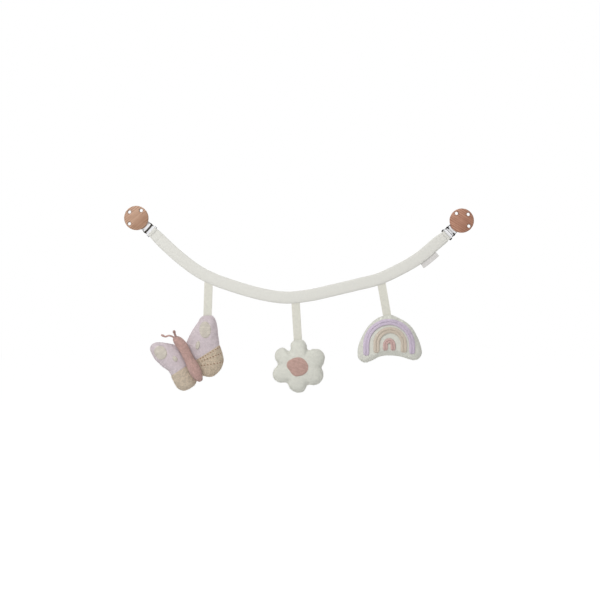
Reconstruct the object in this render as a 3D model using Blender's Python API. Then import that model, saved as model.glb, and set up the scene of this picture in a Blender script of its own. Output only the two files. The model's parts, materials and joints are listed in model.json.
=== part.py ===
"""A pram chain toy: a soft strap between two wood-disc clips, with three toys hanging from it.

Everything is drawn flat first: x runs right, y runs up and z comes towards the viewer. The
chain's empty then stands the drawing upright, so that y becomes world Z, and moves it so that
the middle of the whole object's box is the origin. Lengths are in metres.
"""

import math

import bmesh
import bpy
from mathutils import Vector

# Fits shared by all pieces
GAP = 0.0003  # between two pieces that touch
OVERRUN = 0.002  # how far a cutting tool runs past what it cuts
LAY = 0.0005  # between a stuffed face and what is sewn onto it
SMOOTH_ANGLE = math.radians(40)

# Strap: a jersey tube over a flat core
STRAP_SPAN_LENGTH = 0.4366  # from one loop bar to the other, straight across
STRAP_WIDTH = 0.018
STRAP_THICKNESS = 0.0052
STRAP_WALL = 0.0011
STRAP_START = 0.0009  # from where an end tab lies flat to where the tube begins
STRAP_TAPER = 0.012  # length over which the tube narrows to its sewn end
STRAP_END_SHARE = 0.9  # of the width that is left at a sewn end
CORE_SIDE_ROOM = 0.0019  # between the core's edge and the tube's wall
CORE_FACE_ROOM = 0.00045
CORE_FROM_TAB = 0.001  # between the core and the end tab's tongue
STRAP_STATIONS = 42
LEFT_SLOPE = math.radians(-41)  # the strap's direction where it leaves each loop bar
RIGHT_SLOPE = math.radians(45)
# The strap's centre line from the left loop bar, across and up, as shares of the span
STRAP_ROUTE_SHARES = [
    (0.0, 0.0),
    (0.0394, -0.0387),
    (0.0943, -0.0879),
    (0.1493, -0.1293),
    (0.2046, -0.1588),
    (0.2850, -0.1873),
    (0.3661, -0.2100),
    (0.4479, -0.2226),
    (0.5294, -0.2162),
    (0.6108, -0.1988),
    (0.6922, -0.1795),
    (0.7737, -0.1581),
    (0.8555, -0.1194),
    (0.9118, -0.0848),
    (0.9644, -0.0404),
    (1.0, -0.0112),
]
# Across the tube's cover: share of the half width, then share of the height there
COVER_OUTSIDE_SHARES = [(-1, 0), (-0.88, 0.62), (-0.42, 1), (0.42, 1), (0.88, 0.62), (1, 0)]
COVER_INSIDE_SHARES = [(1, 0), (0.84, 0.74), (0, 1), (-0.84, 0.74), (-1, 0)]
CORE_SECTION_SHARES = [
    (-1, -0.6),
    (-0.8, -1),
    (0.8, -1),
    (1, -0.6),
    (1, 0.6),
    (0.8, 1),
    (-0.8, 1),
    (-1, 0.6),
]

# Bare tag sewn into the strap's lower edge
TAG_LENGTH = 0.0275
TAG_DROP = 0.0075
TAG_THICKNESS = 0.001
TAG_PLACE_SHARE = 0.927  # of the span, across
TAG_STEPS = 4

# End tab: the strap's end, sewn round the loop bar
TAB_SIDE_ROOM = 0.0005  # between the tab and the ends of its slot
TAB_WALL = 0.0011
TAB_NARROWING = 0.0014  # from the fold to where the tab's two layers lie flat
TONGUE_REACH = 0.012  # how far the tab reaches from the bar into the strap

# Clip base plate: loop, neck, two ears and the lower jaw, stamped from one sheet
SHEET = 0.0009
SLOT_WIDTH = 0.016
LOOP_SIDE = 0.00175  # width of the loop at the slot's ends
LOOP_CORNER = 0.0011
FOLD_ROOM = 0.0005  # between the folded tab and the neck
BAR_WIDTH = 0.002
NECK_LENGTH = 0.0057  # from the slot to the pin
JAW_WIDTH = 0.0155
JAW_PAST_DISC = 0.0065  # how far the jaw runs past the disc's centre
EAR_WALL = 0.0009
SHOULDER_LENGTH = 0.0022  # over which the loop narrows to the neck
CORNER_STEPS = 4

# Hinge pin through the ears, and the lever that rolls round it
PIN_DIAMETER = 0.002
PIN_CLEARANCE = 0.0003
PIN_OVERHANG = 0.0005  # of its peened end past an ear
LEVER_SHEET = 0.0008
LEVER_WIDTH = 0.0142
LEVER_PAST_DISC = 0.0075
ROUND_SIDES = 16

# Jaw pad: a toothed plastic insert on the lower jaw
PAD_LENGTH = 0.013
PAD_WIDTH = 0.0112
PAD_FROM_PIN = 0.0032
JAW_GAP = 0.0006
TOOTH_HEIGHT = 0.0007
TOOTH_COUNT = 7
TOOTH_TIP_SHARE = 0.35  # of the pitch, from a tooth's root to its tip

# Wood disc and the rivet that holds it to the lever
DISC_DIAMETER = 0.036
DISC_THICKNESS = 0.008
DISC_EDGE = 0.0016
DISC_FROM_PIN = 0.0043
DISC_SIDES = 32
DISC_EDGE_STEPS = 2
HOLE_DIAMETER = 0.005
HOLE_INSET = 0.0047  # of a hole's middle from the disc's rim
HOLE_SPREAD = math.radians(82)
RIVET_DIAMETER = 0.003
RIVET_HEAD_DIAMETER = 0.0056
RIVET_HEAD_HEIGHT = 0.0006
RIVET_GRIP = 0.0035  # how deep it sits in the wood

# Ribbons between the strap and the toys
RIBBON_WIDTH = 0.0125
RIBBON_THICKNESS = 0.0012
RIBBON_CORNER_STEPS = 4
BUTTERFLY_RIBBON_LENGTH = 0.0455
BUTTERFLY_RIBBON_LEAN = math.radians(-1.8)
BUTTERFLY_PLACE_SHARE = 0.1998  # of the span, across
FLOWER_RIBBON_LENGTH = 0.0526
FLOWER_RIBBON_LEAN = math.radians(3.5)
FLOWER_PLACE_SHARE = 0.4856
RAINBOW_RIBBON_LENGTH = 0.0443
RAINBOW_RIBBON_LEAN = math.radians(10)
RAINBOW_PLACE_SHARE = 0.7728
RIBBONS = {
    "butterfly_ribbon": (BUTTERFLY_PLACE_SHARE, BUTTERFLY_RIBBON_LENGTH, BUTTERFLY_RIBBON_LEAN),
    "flower_ribbon": (FLOWER_PLACE_SHARE, FLOWER_RIBBON_LENGTH, FLOWER_RIBBON_LEAN),
    "rainbow_ribbon": (RAINBOW_PLACE_SHARE, RAINBOW_RIBBON_LENGTH, RAINBOW_RIBBON_LEAN),
}

# Stuffed shapes: how they swell from a drawn-in seam
CLOTH = 0.0011  # thickness of a toy's sewn cover
RING_SHARES = (0.34, 0.62, 0.82, 0.94, 1.0)
CORE_RING_SHARES = (0.45, 0.8, 1.0)
PLUMP_POWER = 3.4  # a high power keeps the middle full
PLUMP_ROOT = 0.52  # a low root rounds the edge
SHARPEST_TURN_SHARE = 0.7  # keeps a moved outline from running out at its corners

# Butterfly: its body lies along the drawing's y before it is leant over
BUTTERFLY_LEAN = math.radians(27)
BUTTERFLY_HANG_SHARE = 0.457  # of the right wing's reach, straight across
BODY_LENGTH = 0.0762
BODY_RADIUS = 0.0087
BODY_SIDES = 12
TAIL_HOLE_RADIUS = 0.0009
# Along the body from tail to head: share of the length, share of the radius, then how far the
# head leans aside, as a share of the radius
BODY_PROFILE_SHARES = [
    (0.0, 0.16, 0.06),
    (0.02, 0.42, 0.05),
    (0.072, 0.68, 0.02),
    (0.15, 0.88, 0.0),
    (0.25, 1.0, 0.0),
    (0.36, 0.97, 0.0),
    (0.46, 0.84, 0.0),
    (0.57, 0.87, 0.0),
    (0.69, 0.86, 0.0),
    (0.79, 0.92, -0.08),
    (0.87, 0.87, -0.20),
    (0.94, 0.74, -0.32),
    (0.982, 0.50, -0.42),
    (1.0, 0.18, -0.48),
]
HEAD_RING = 11  # the ring of the body's profile at the middle of the head
SEAM_STRIP_WIDTH = 0.0014
SEAM_STRIP_SHARE = 0.74  # of the body's length that the strip runs along
SEAM_STRIP_DEPTH = 0.0016  # behind the hinge line
WING_FROM_HINGE = 0.0012
WING_SWELL = 0.0092
WING_POINTS = 34
WEDGE_REACH = 0.014  # from the hinge to where a wing is as plump as elsewhere
WEDGE_POWER = 2.0
WEDGE_ROOT = 1.0
RIGHT_WING_REACH = 0.059
RIGHT_WING_HEIGHT = 0.0859
LEFT_WING_REACH = 0.0455
LEFT_WING_HEIGHT = 0.083
WING_MIDDLE_SHARES = (0.46, -0.06)  # of reach and height, where a wing is thickest
WING_SEAM_SHARE = -0.088  # of the height, where the two cloths meet at the hinge
WING_SEAM_SLOPE = math.radians(5.5)
# Outlines from the hinge's foot round to its top: shares of the reach, then of the height
RIGHT_WING_SHARES = [
    (0.0, -0.310),
    (0.093, -0.388),
    (0.279, -0.457),
    (0.445, -0.448),
    (0.595, -0.397),
    (0.721, -0.302),
    (0.775, -0.190),
    (0.800, -0.103),
    (0.809, -0.040),
    (0.842, 0.040),
    (0.905, 0.164),
    (0.970, 0.284),
    (1.003, 0.388),
    (0.988, 0.468),
    (0.895, 0.512),
    (0.785, 0.540),
    (0.690, 0.533),
    (0.595, 0.493),
    (0.432, 0.431),
    (0.281, 0.364),
    (0.123, 0.284),
    (0.0, 0.207),
]
LEFT_WING_SHARES = [
    (0.0, -0.330),
    (0.080, -0.420),
    (0.210, -0.468),
    (0.420, -0.484),
    (0.610, -0.468),
    (0.745, -0.395),
    (0.775, -0.300),
    (0.775, -0.170),
    (0.760, -0.050),
    (0.895, 0.105),
    (0.985, 0.265),
    (1.005, 0.385),
    (0.975, 0.470),
    (0.880, 0.518),
    (0.745, 0.525),
    (0.615, 0.500),
    (0.430, 0.432),
    (0.230, 0.350),
    (0.100, 0.300),
    (0.0, 0.220),
]
PATCH_THICKNESS = 0.0009
PATCH_POINTS = 14
PATCH_INNER_SHARE = 0.5  # of its outline, where the rings on its two faces lie
PATCH_TOP_SHARE = 0.9  # of its outline, where its rounded edge begins
# Patches: centre as shares of reach and height, half width and half height, and tilt
RIGHT_BIG_PATCH = ((0.671, 0.317), 0.0084, 0.0121, math.radians(-24))
RIGHT_SMALL_PATCH = ((0.358, 0.141), 0.0030, 0.0064, math.radians(-39))
LEFT_BIG_PATCH = ((0.690, 0.334), 0.0088, 0.0102, math.radians(6))
LEFT_SMALL_PATCH = ((0.325, 0.120), 0.0027, 0.0041, math.radians(8))

ANTENNA_DIAMETER = 0.0024
ANTENNA_SIDES = 8
ANTENNA_FROM_HEAD = 0.0004  # from the head's round to the antenna's root
ANTENNA_KNOT_SHARE = 1.55  # of the cord's radius
LONG_ANTENNA_LENGTH = 0.0160
LONG_ANTENNA_ROOT = math.radians(122)
SHORT_ANTENNA_LENGTH = 0.0066
SHORT_ANTENNA_ROOT = math.radians(86)
# Routes from the head: across, up and towards the viewer, as shares of the antenna's length
LONG_ANTENNA_SHARES = [
    (0.0, 0.0, 0.0),
    (-0.12, 0.17, 0.02),
    (-0.30, 0.36, 0.05),
    (-0.47, 0.42, 0.08),
    (-0.63, 0.46, 0.08),
    (-0.74, 0.57, 0.06),
    (-0.80, 0.68, 0.04),
]
SHORT_ANTENNA_SHARES = [
    (0.0, 0.0, 0.0),
    (0.03, 0.20, 0.14),
    (0.08, 0.37, 0.37),
    (0.13, 0.50, 0.60),
    (0.17, 0.60, 0.83),
]

# Flower: six petals about its middle
FLOWER_RADIUS = 0.040
FLOWER_HANG_SHARE = -0.035  # of the radius, where its ribbon is sewn
FLOWER_SWELL = 0.0112
PETAL_STEPS = 7
PETAL_ROUNDNESS = 0.42
# Each petal's reach; then the notch before each petal: its angle from +x and its reach
FLOWER_PETAL_SHARES = [1.03, 0.99, 1.01, 1.00, 0.995, 1.03]
FLOWER_NOTCHES = [
    (math.radians(-4), 0.855),
    (math.radians(63), 0.71),
    (math.radians(120), 0.715),
    (math.radians(177), 0.785),
    (math.radians(237), 0.75),
    (math.radians(292), 0.755),
]
FLOWER_MIDDLE_SIZE = 0.0163
FLOWER_MIDDLE_PLACE_SHARES = (-0.045, -0.005)
FLOWER_MIDDLE_SHARES = [
    1.0,
    0.93,
    0.90,
    0.88,
    0.86,
    0.90,
    1.02,
    0.98,
    0.80,
    0.84,
    0.90,
    0.86,
    0.92,
    0.98,
]

# Rainbow: an arch-shaped cushion with three raised bows on its front
RAINBOW_WIDTH = 0.0952
RAINBOW_HEIGHT = 0.0704
RAINBOW_SWELL = 0.0102
RAINBOW_HANG_SHARE = -0.0215  # of the width
RAINBOW_POINTS = 40
RAINBOW_MIDDLE_SHARES = (0.02, -0.02)
RAINBOW_SHARES = [
    (-0.005, 0.594),
    (0.075, 0.588),
    (0.243, 0.476),
    (0.348, 0.362),
    (0.431, 0.200),
    (0.486, 0.027),
    (0.520, -0.162),
    (0.500, -0.278),
    (0.445, -0.343),
    (0.370, -0.352),
    (0.208, -0.286),
    (0.069, -0.263),
    (-0.063, -0.263),
    (-0.162, -0.297),
    (-0.258, -0.362),
    (-0.355, -0.406),
    (-0.418, -0.381),
    (-0.468, -0.305),
    (-0.478, -0.210),
    (-0.468, -0.067),
    (-0.432, 0.076),
    (-0.363, 0.265),
    (-0.266, 0.427),
    (-0.175, 0.524),
    (-0.092, 0.571),
]
BOW_THICKNESS = 0.0016
BOW_STEPS = 20
BOW_LEG_STEPS = 3
# Across a bow: share of the half width, then share of its thickness; two cords and a groove
BOW_TOP_SHARES = [(1, 0.25), (0.52, 1), (0, 0.55), (-0.52, 1), (-1, 0.25)]
# Each bow: name, middle of its arch as shares of the rainbow's width and height, half span,
# rise, width, and how far its two legs run down, left then right
BOWS = [
    ("rainbow_lilac_bow", (0.008, -0.040), 0.0340, 0.0345, 0.0086, 0.0155, 0.0130),
    ("rainbow_beige_bow", (0.023, -0.011), 0.0203, 0.0205, 0.0090, 0.0135, 0.0130),
    ("rainbow_pink_bow", (0.008, -0.032), 0.0057, 0.0062, 0.0070, 0.0085, 0.0085),
]

# What those sizes fix between them
SEAM = GAP / 2
CORE_WIDTH = STRAP_WIDTH - 2 * (STRAP_WALL + CORE_SIDE_ROOM)
CORE_THICKNESS = STRAP_THICKNESS - 2 * (STRAP_WALL + CORE_FACE_ROOM)
TONGUE_WIDTH = CORE_WIDTH * STRAP_END_SHARE
TAB_WIDTH = SLOT_WIDTH - 2 * TAB_SIDE_ROOM
LOOP_WIDTH = SLOT_WIDTH + 2 * LOOP_SIDE
FOLD_BORE = math.hypot(BAR_WIDTH, SHEET) / 2 + GAP
FOLD_RADIUS = FOLD_BORE + TAB_WALL
TAB_FLAT = FOLD_RADIUS + TAB_NARROWING  # from the bar
TUBE_START = TAB_FLAT + STRAP_START  # from the bar
SLOT_EDGE = FOLD_RADIUS + FOLD_ROOM  # from the bar to the neck
BAR_TO_PIN = SLOT_EDGE + NECK_LENGTH
PIN_TO_DISC = DISC_DIAMETER / 2 + DISC_FROM_PIN
BAR_TO_DISC = BAR_TO_PIN + PIN_TO_DISC
PIN_RADIUS = PIN_DIAMETER / 2
BARREL_BORE = PIN_RADIUS + PIN_CLEARANCE
BARREL_RADIUS = BARREL_BORE + LEVER_SHEET
EAR_LENGTH = 2 * (BARREL_BORE + EAR_WALL)
EAR_INSIDE = LEVER_WIDTH / 2 + GAP
NECK_WIDTH = 2 * (EAR_INSIDE + SHEET)
PIN_HEIGHT = SHEET / 2 + GAP + BARREL_RADIUS  # of the pin over the middle of the strap
LEVER_BACK = BARREL_RADIUS - LEVER_SHEET  # from here on, heights over the pin
LEVER_FRONT = LEVER_BACK + LEVER_SHEET
DISC_BACK = LEVER_FRONT + GAP
DISC_FRONT = DISC_BACK + DISC_THICKNESS
HOLE_FROM_CENTRE = DISC_DIAMETER / 2 - HOLE_INSET
HANG_GAP = RIBBON_THICKNESS / 2 + GAP  # from a seam to the line that a ribbon folds on
WEDGE = math.atan2(WING_SWELL, WEDGE_REACH)  # how steeply a wing rises from its hinge
BODY_HEIGHT = (BODY_RADIUS + GAP) / math.cos(WEDGE)


def clear_scene():
    """Remove whatever the file starts with."""
    for old in list(bpy.data.objects):
        bpy.data.objects.remove(old, do_unlink=True)


def paint(name, red, green, blue, roughness, metallic=0.0):
    """A Principled material from a colour seen on a screen, 0 to 255."""
    material = bpy.data.materials.new(name)
    material.use_nodes = True
    shader = material.node_tree.nodes["Principled BSDF"]
    linear = [(level / 255) ** 2.2 for level in (red, green, blue)]
    shader.inputs["Base Color"].default_value = (*linear, 1.0)
    shader.inputs["Roughness"].default_value = roughness
    shader.inputs["Metallic"].default_value = metallic
    material.diffuse_color = (*linear, 1.0)
    return material


def empty(name, parent, x=0.0, y=0.0, z=0.0, turn=0.0):
    """A guide that carries pieces: a place in its parent's drawing, turned about z."""
    guide = bpy.data.objects.new(name, None)
    bpy.context.collection.objects.link(guide)
    guide.parent = parent
    guide.location = (x, y, z)
    guide.rotation_euler = (0.0, 0.0, turn)
    return guide


def solid(name, shape, material, parent):
    """Turn a bmesh into a named piece with its own material."""
    bmesh.ops.recalc_face_normals(shape, faces=shape.faces)
    mesh = bpy.data.meshes.new(name)
    shape.to_mesh(mesh)
    shape.free()
    piece = bpy.data.objects.new(name, mesh)
    bpy.context.collection.objects.link(piece)
    piece.parent = parent
    mesh.materials.append(material)
    mesh.shade_smooth()
    mesh.set_sharp_from_angle(angle=SMOOTH_ANGLE)
    return piece


def boolean(piece, operation, shape, parent):
    """Cut, join or keep what a shape covers, with an exact Boolean and a hidden tool."""
    name = f"{piece.name}_{operation.lower()}_{len(piece.modifiers)}"
    tool = solid(name, shape, piece.data.materials[0], parent)
    tool.hide_render = True
    tool.display_type = "WIRE"
    modifier = piece.modifiers.new(tool.name, "BOOLEAN")
    modifier.operation = operation
    modifier.solver = "EXACT"
    modifier.object = tool


def loft(sections):
    """Join rings of points, one after the other, into a solid."""
    shape = bmesh.new()
    rings = [[shape.verts.new(point) for point in section] for section in sections]
    for ring, following in zip(rings, rings[1:]):
        bridge(shape, ring, following)
    shape.faces.new(reversed(rings[0]))
    shape.faces.new(rings[-1])
    return shape


def bridge(shape, ring, following):
    """Quads between two rings of the same count."""
    count = len(ring)
    for i in range(count):
        j = (i + 1) % count
        shape.faces.new((ring[i], ring[j], following[j], following[i]))


def fan(shape, ring, point):
    """Triangles from a ring to one point."""
    tip = shape.verts.new(point)
    for i, corner in enumerate(ring):
        shape.faces.new((corner, ring[(i + 1) % len(ring)], tip))


def plan_prism(outline, low, high):
    """An outline in the drawing, thickened along z."""
    return loft([[(x, y, low) for x, y in outline], [(x, y, high) for x, y in outline]])


def side_prism(profile, half_width):
    """A profile in x and z, as seen along the hinge pin, thickened along y."""
    return loft([[(x, -half_width, z) for x, z in profile], [(x, half_width, z) for x, z in profile]])


def arc(x, y, radius, start, end, steps):
    """Points on a round stretch, both ends included; angles in radians."""
    turns = [start + (end - start) * i / steps for i in range(steps + 1)]
    return [(x + radius * math.cos(turn), y + radius * math.sin(turn)) for turn in turns]


def spin(profile, sides):
    """Spin a profile of (radius, height) about z into a solid."""
    turns = [2 * math.pi * i / sides for i in range(sides)]
    rings = []
    for radius, height in profile:
        rings.append([(radius * math.cos(turn), radius * math.sin(turn), height) for turn in turns])
    return loft(rings)


def pin_cylinder(radius, half_length, x, z):
    """A round bar along y, such as a pin or the drill for it."""
    profile = arc(x, z, radius, 0.0, 2 * math.pi, ROUND_SIDES)[:-1]
    return side_prism(profile, half_length)


def tube(points, radii, sides):
    """A round cord through points, with its own radius at each."""
    sections = []
    side = Vector((0.0, 0.0, 1.0))
    for i, (point, radius) in enumerate(zip(points, radii)):
        along = (points[min(i + 1, len(points) - 1)] - points[max(i - 1, 0)]).normalized()
        side = (side - along * side.dot(along)).normalized()
        other = along.cross(side)
        turns = [2 * math.pi * k / sides for k in range(sides)]
        sections.append([point + radius * (side * math.cos(t) + other * math.sin(t)) for t in turns])
    return loft(sections)


def curve_point(before, start, end, after, share):
    """A point on a smooth curve between start and end, given their neighbours."""
    squared = share * share
    cubed = squared * share
    return 0.5 * (
        2 * start
        + (end - before) * share
        + (2 * before - 5 * start + 4 * end - after) * squared
        + (3 * start - before - 3 * end + after) * cubed
    )


class Route:
    """A smooth line through a few points in the drawing, read by the length along it."""

    STEPS = 12

    def __init__(self, points, start_slope, end_slope):
        points = [Vector(point) for point in points]
        first = (points[1] - points[0]).length
        last = (points[-1] - points[-2]).length
        lead_in = points[1] - 2 * first * Vector((math.cos(start_slope), math.sin(start_slope)))
        lead_out = points[-2] + 2 * last * Vector((math.cos(end_slope), math.sin(end_slope)))
        chain = [lead_in, *points, lead_out]
        self.points = [points[0]]
        for i in range(1, len(chain) - 2):
            for step in range(1, self.STEPS + 1):
                self.points.append(curve_point(*chain[i - 1 : i + 3], step / self.STEPS))
        self.lengths = [0.0]
        for point, following in zip(self.points, self.points[1:]):
            self.lengths.append(self.lengths[-1] + (following - point).length)
        self.length = self.lengths[-1]
        ends = [self.points[0], *self.points, self.points[-1]]
        self.ways = [(after - before).normalized() for before, after in zip(ends, ends[2:])]

    def at(self, length):
        """The point at a length along the line, and the line's angle there."""
        i = 0
        while i < len(self.points) - 2 and self.lengths[i + 1] < length:
            i += 1
        share = (length - self.lengths[i]) / (self.lengths[i + 1] - self.lengths[i])
        way = self.ways[i].lerp(self.ways[i + 1], share)
        return self.points[i].lerp(self.points[i + 1], share), math.atan2(way.y, way.x)

    def length_at(self, x):
        """The length along the line at which it passes x."""
        for i, (point, following) in enumerate(zip(self.points, self.points[1:])):
            if point.x <= x <= following.x:
                share = (x - point.x) / (following.x - point.x)
                return self.lengths[i] + share * (self.lengths[i + 1] - self.lengths[i])
        return self.length


def smooth_outline(points, count):
    """A closed smooth outline through the points, with its corners evenly spaced."""
    points = [Vector(point) for point in points]
    total = len(points)
    steps = Route.STEPS
    fine = []
    for i in range(total):
        near = [points[(i + k) % total] for k in (-1, 0, 1, 2)]
        fine += [curve_point(*near, step / steps) for step in range(steps)]
    fine.append(fine[0])
    lengths = [0.0]
    for point, following in zip(fine, fine[1:]):
        lengths.append(lengths[-1] + (following - point).length)
    outline = []
    i = 0
    for k in range(count):
        wanted = lengths[-1] * k / count
        while lengths[i + 1] < wanted:
            i += 1
        share = (wanted - lengths[i]) / (lengths[i + 1] - lengths[i])
        outline.append(fine[i].lerp(fine[i + 1], share))
    return outline


def shrink(outline, amount):
    """Move a closed outline inwards by an amount, square to its edges."""
    moved = []
    for i, point in enumerate(outline):
        before = (point - outline[i - 1]).normalized()
        after = (outline[(i + 1) % len(outline)] - point).normalized()
        along = (before + after).normalized()
        reach = amount / max(along.dot(after), SHARPEST_TURN_SHARE)
        moved.append(point + reach * Vector((-along.y, along.x)))
    return moved


class Cushion:
    """A stuffed shape that swells from a flat outline, drawn anticlockwise.

    Spokes run from its middle to each corner of the outline. Part of the way along a spoke
    the surface stands at a share of the swell, full near the middle and nothing at the seam.
    """

    def __init__(self, outline, middle, swell, hinge_reach=0.0):
        self.outline = outline
        self.middle = Vector(middle)
        self.swell = swell
        self.hinge_reach = hinge_reach

    def within(self, wall):
        """The same shape seen from inside its cloth."""
        return Cushion(shrink(self.outline, wall), self.middle, self.swell - wall, self.hinge_reach)

    def rise(self, corner, share):
        """Height over the seam's plane at a share of the spoke to a corner."""
        flat = 0.0
        if self.hinge_reach:
            flat = min(max(1 - abs(corner.x) / self.hinge_reach, 0.0), 1.0)
        power = PLUMP_POWER + (WEDGE_POWER - PLUMP_POWER) * flat
        root = PLUMP_ROOT + (WEDGE_ROOT - PLUMP_ROOT) * flat
        return self.swell * max(1 - share**power, 0.0) ** root

    def height(self, place):
        """Height of the surface over a place in the drawing."""
        away = place - self.middle
        for i, corner in enumerate(self.outline):
            start = corner - self.middle
            end = self.outline[(i + 1) % len(self.outline)] - self.middle
            area = start.x * end.y - start.y * end.x
            first = (away.x * end.y - away.y * end.x) / area
            second = (start.x * away.y - start.y * away.x) / area
            if first >= 0 and second >= 0 and first + second > 0:
                corner = self.middle + (start * first + end * second) / (first + second)
                return self.rise(corner, min(first + second, 1.0))
        return self.swell

    def dome(self, shape, side, seam, shares=RING_SHARES):
        """Add one face, on the front (1) or back (-1); gives its rim."""
        rings = []
        for share in shares:
            ring = []
            for corner in self.outline:
                place = self.middle.lerp(corner, share)
                ring.append(shape.verts.new((place.x, place.y, side * (seam + self.rise(corner, share)))))
            rings.append(ring)
        fan(shape, rings[0], (self.middle.x, self.middle.y, side * (seam + self.swell)))
        for ring, following in zip(rings, rings[1:]):
            bridge(shape, ring, following)
        return rings[-1]

    def whole(self, shares=RING_SHARES, seam=0.0):
        """Both faces, closed at the seam."""
        shape = bmesh.new()
        front = self.dome(shape, 1, seam, shares)
        back = self.dome(shape, -1, seam, shares)
        if seam:
            bridge(shape, front, back)
        else:
            bmesh.ops.weld_verts(shape, targetmap=dict(zip(back, front)))
        return shape

    def panel(self, side):
        """One sewn face of cloth, down to the seam."""
        shape = bmesh.new()
        outer = self.dome(shape, side, SEAM)
        inner = self.within(CLOTH).dome(shape, side, SEAM, CORE_RING_SHARES)
        bridge(shape, outer, inner)
        return shape


def hang_place(outline, lean, place):
    """Where a ribbon folds over a toy's top edge, on an outline that is turned by a lean."""
    top = max(turned(point, lean).y for point in outline)
    return Vector((place, top + HANG_GAP))


def patch(name, cushion, outline, middle, material, parent):
    """A thin piece laid on a cushion's front, following its swell."""
    shape = bmesh.new()
    middle = Vector(middle)

    def ring(share, lift):
        places = [middle.lerp(corner, share) for corner in outline]
        return [shape.verts.new((p.x, p.y, SEAM + cushion.height(p) + LAY + lift)) for p in places]

    under = ring(PATCH_INNER_SHARE, 0.0)
    under_rim = ring(1, 0.0)
    edge = ring(1, PATCH_THICKNESS / 2)
    top = ring(PATCH_TOP_SHARE, PATCH_THICKNESS)
    inner = ring(PATCH_INNER_SHARE, PATCH_THICKNESS)
    base = SEAM + cushion.height(middle) + LAY
    fan(shape, under, (middle.x, middle.y, base))
    bridge(shape, under, under_rim)
    bridge(shape, under_rim, edge)
    bridge(shape, edge, top)
    bridge(shape, top, inner)
    fan(shape, inner, (middle.x, middle.y, base + PATCH_THICKNESS))
    return solid(name, shape, material, parent)


def strap_route():
    """The strap's centre line in the drawing, from the left loop bar to the right one."""
    points = [((x - 0.5) * STRAP_SPAN_LENGTH, y * STRAP_SPAN_LENGTH) for x, y in STRAP_ROUTE_SHARES]
    return Route(points, LEFT_SLOPE, RIGHT_SLOPE)


def strap_sections(route, start, end, half_width, section):
    """Rings of a band along the route; section gives (across, height) for a half width."""
    rings = []
    for i in range(STRAP_STATIONS + 1):
        length = start + (end - start) * i / STRAP_STATIONS
        point, turn = route.at(length)
        near_end = min(length, route.length - length) - TUBE_START
        narrowing = max(1 - near_end / STRAP_TAPER, 0.0) ** 2
        half = half_width * (1 - (1 - STRAP_END_SHARE) * narrowing)
        across = Vector((-math.sin(turn), math.cos(turn)))
        rings.append([(*(point + across * v), z) for v, z in section(half)])
    return rings


def build_strap(chain, route, cloths):
    """The tube's two faces, its core, both end tabs and the bare tag."""
    half_width = STRAP_WIDTH / 2
    half_thickness = STRAP_THICKNESS / 2
    start = TUBE_START
    end = route.length - TUBE_START

    def cover(side):
        def section(half):
            outside = [(v * half, SEAM + z * (half_thickness - SEAM)) for v, z in COVER_OUTSIDE_SHARES]
            room = half_thickness - STRAP_WALL - SEAM
            inside = [(v * (half - STRAP_WALL), SEAM + z * room) for v, z in COVER_INSIDE_SHARES]
            return [(v, side * z) for v, z in outside + inside]

        return loft(strap_sections(route, start, end, half_width, section))

    solid("strap_front_layer", cover(1), cloths["jersey"], chain)
    solid("strap_back_layer", cover(-1), cloths["jersey"], chain)

    def core(half):
        return [(v * half, z * CORE_THICKNESS / 2) for v, z in CORE_SECTION_SHARES]

    core_start = TONGUE_REACH + CORE_FROM_TAB
    core_end = route.length - core_start
    rings = strap_sections(route, core_start, core_end, CORE_WIDTH / 2, core)
    solid("strap_core", loft(rings), cloths["felt"], chain)

    build_tag(chain, route, cloths["tag"])


def build_tag(chain, route, material):
    """A bare folded tag along the strap's lower edge."""
    middle = route.length_at((TAG_PLACE_SHARE - 0.5) * STRAP_SPAN_LENGTH)
    half = TAG_THICKNESS / 2
    rings = []
    for i in range(TAG_STEPS + 1):
        point, turn = route.at(middle + TAG_LENGTH * (i / TAG_STEPS - 0.5))
        across = Vector((-math.sin(turn), math.cos(turn)))
        top = -(STRAP_WIDTH / 2 + GAP)
        low = top - TAG_DROP
        corners = [(top, -half), (low + half, -half), (low, 0.0), (low + half, half), (top, half)]
        rings.append([(*(point + across * v), z) for v, z in corners])
    solid("side_tag", loft(rings), material, chain)


def build_end_tab(name, end, material):
    """The strap's end, wrapped round the loop bar and tucked between the two faces."""
    half_layer = CORE_THICKNESS / 2
    turn_in = math.acos(half_layer / FOLD_RADIUS) / 2
    fold = arc(0.0, 0.0, FOLD_RADIUS, turn_in, 2 * math.pi - turn_in, ROUND_SIDES)
    profile = [*fold, (TAB_FLAT, -half_layer), (TAB_FLAT, half_layer)]
    tab = solid(name, side_prism(profile, TAB_WIDTH / 2), material, end)
    start = TAB_FLAT - TAB_WALL
    near = [(start, half_layer), (start, -half_layer)]
    tongue = [*near, (TONGUE_REACH, -half_layer), (TONGUE_REACH, half_layer)]
    boolean(tab, "UNION", side_prism(tongue, TONGUE_WIDTH / 2), end)
    boolean(tab, "DIFFERENCE", pin_cylinder(FOLD_BORE, TAB_WIDTH / 2 + OVERRUN, 0.0, 0.0), end)


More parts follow.
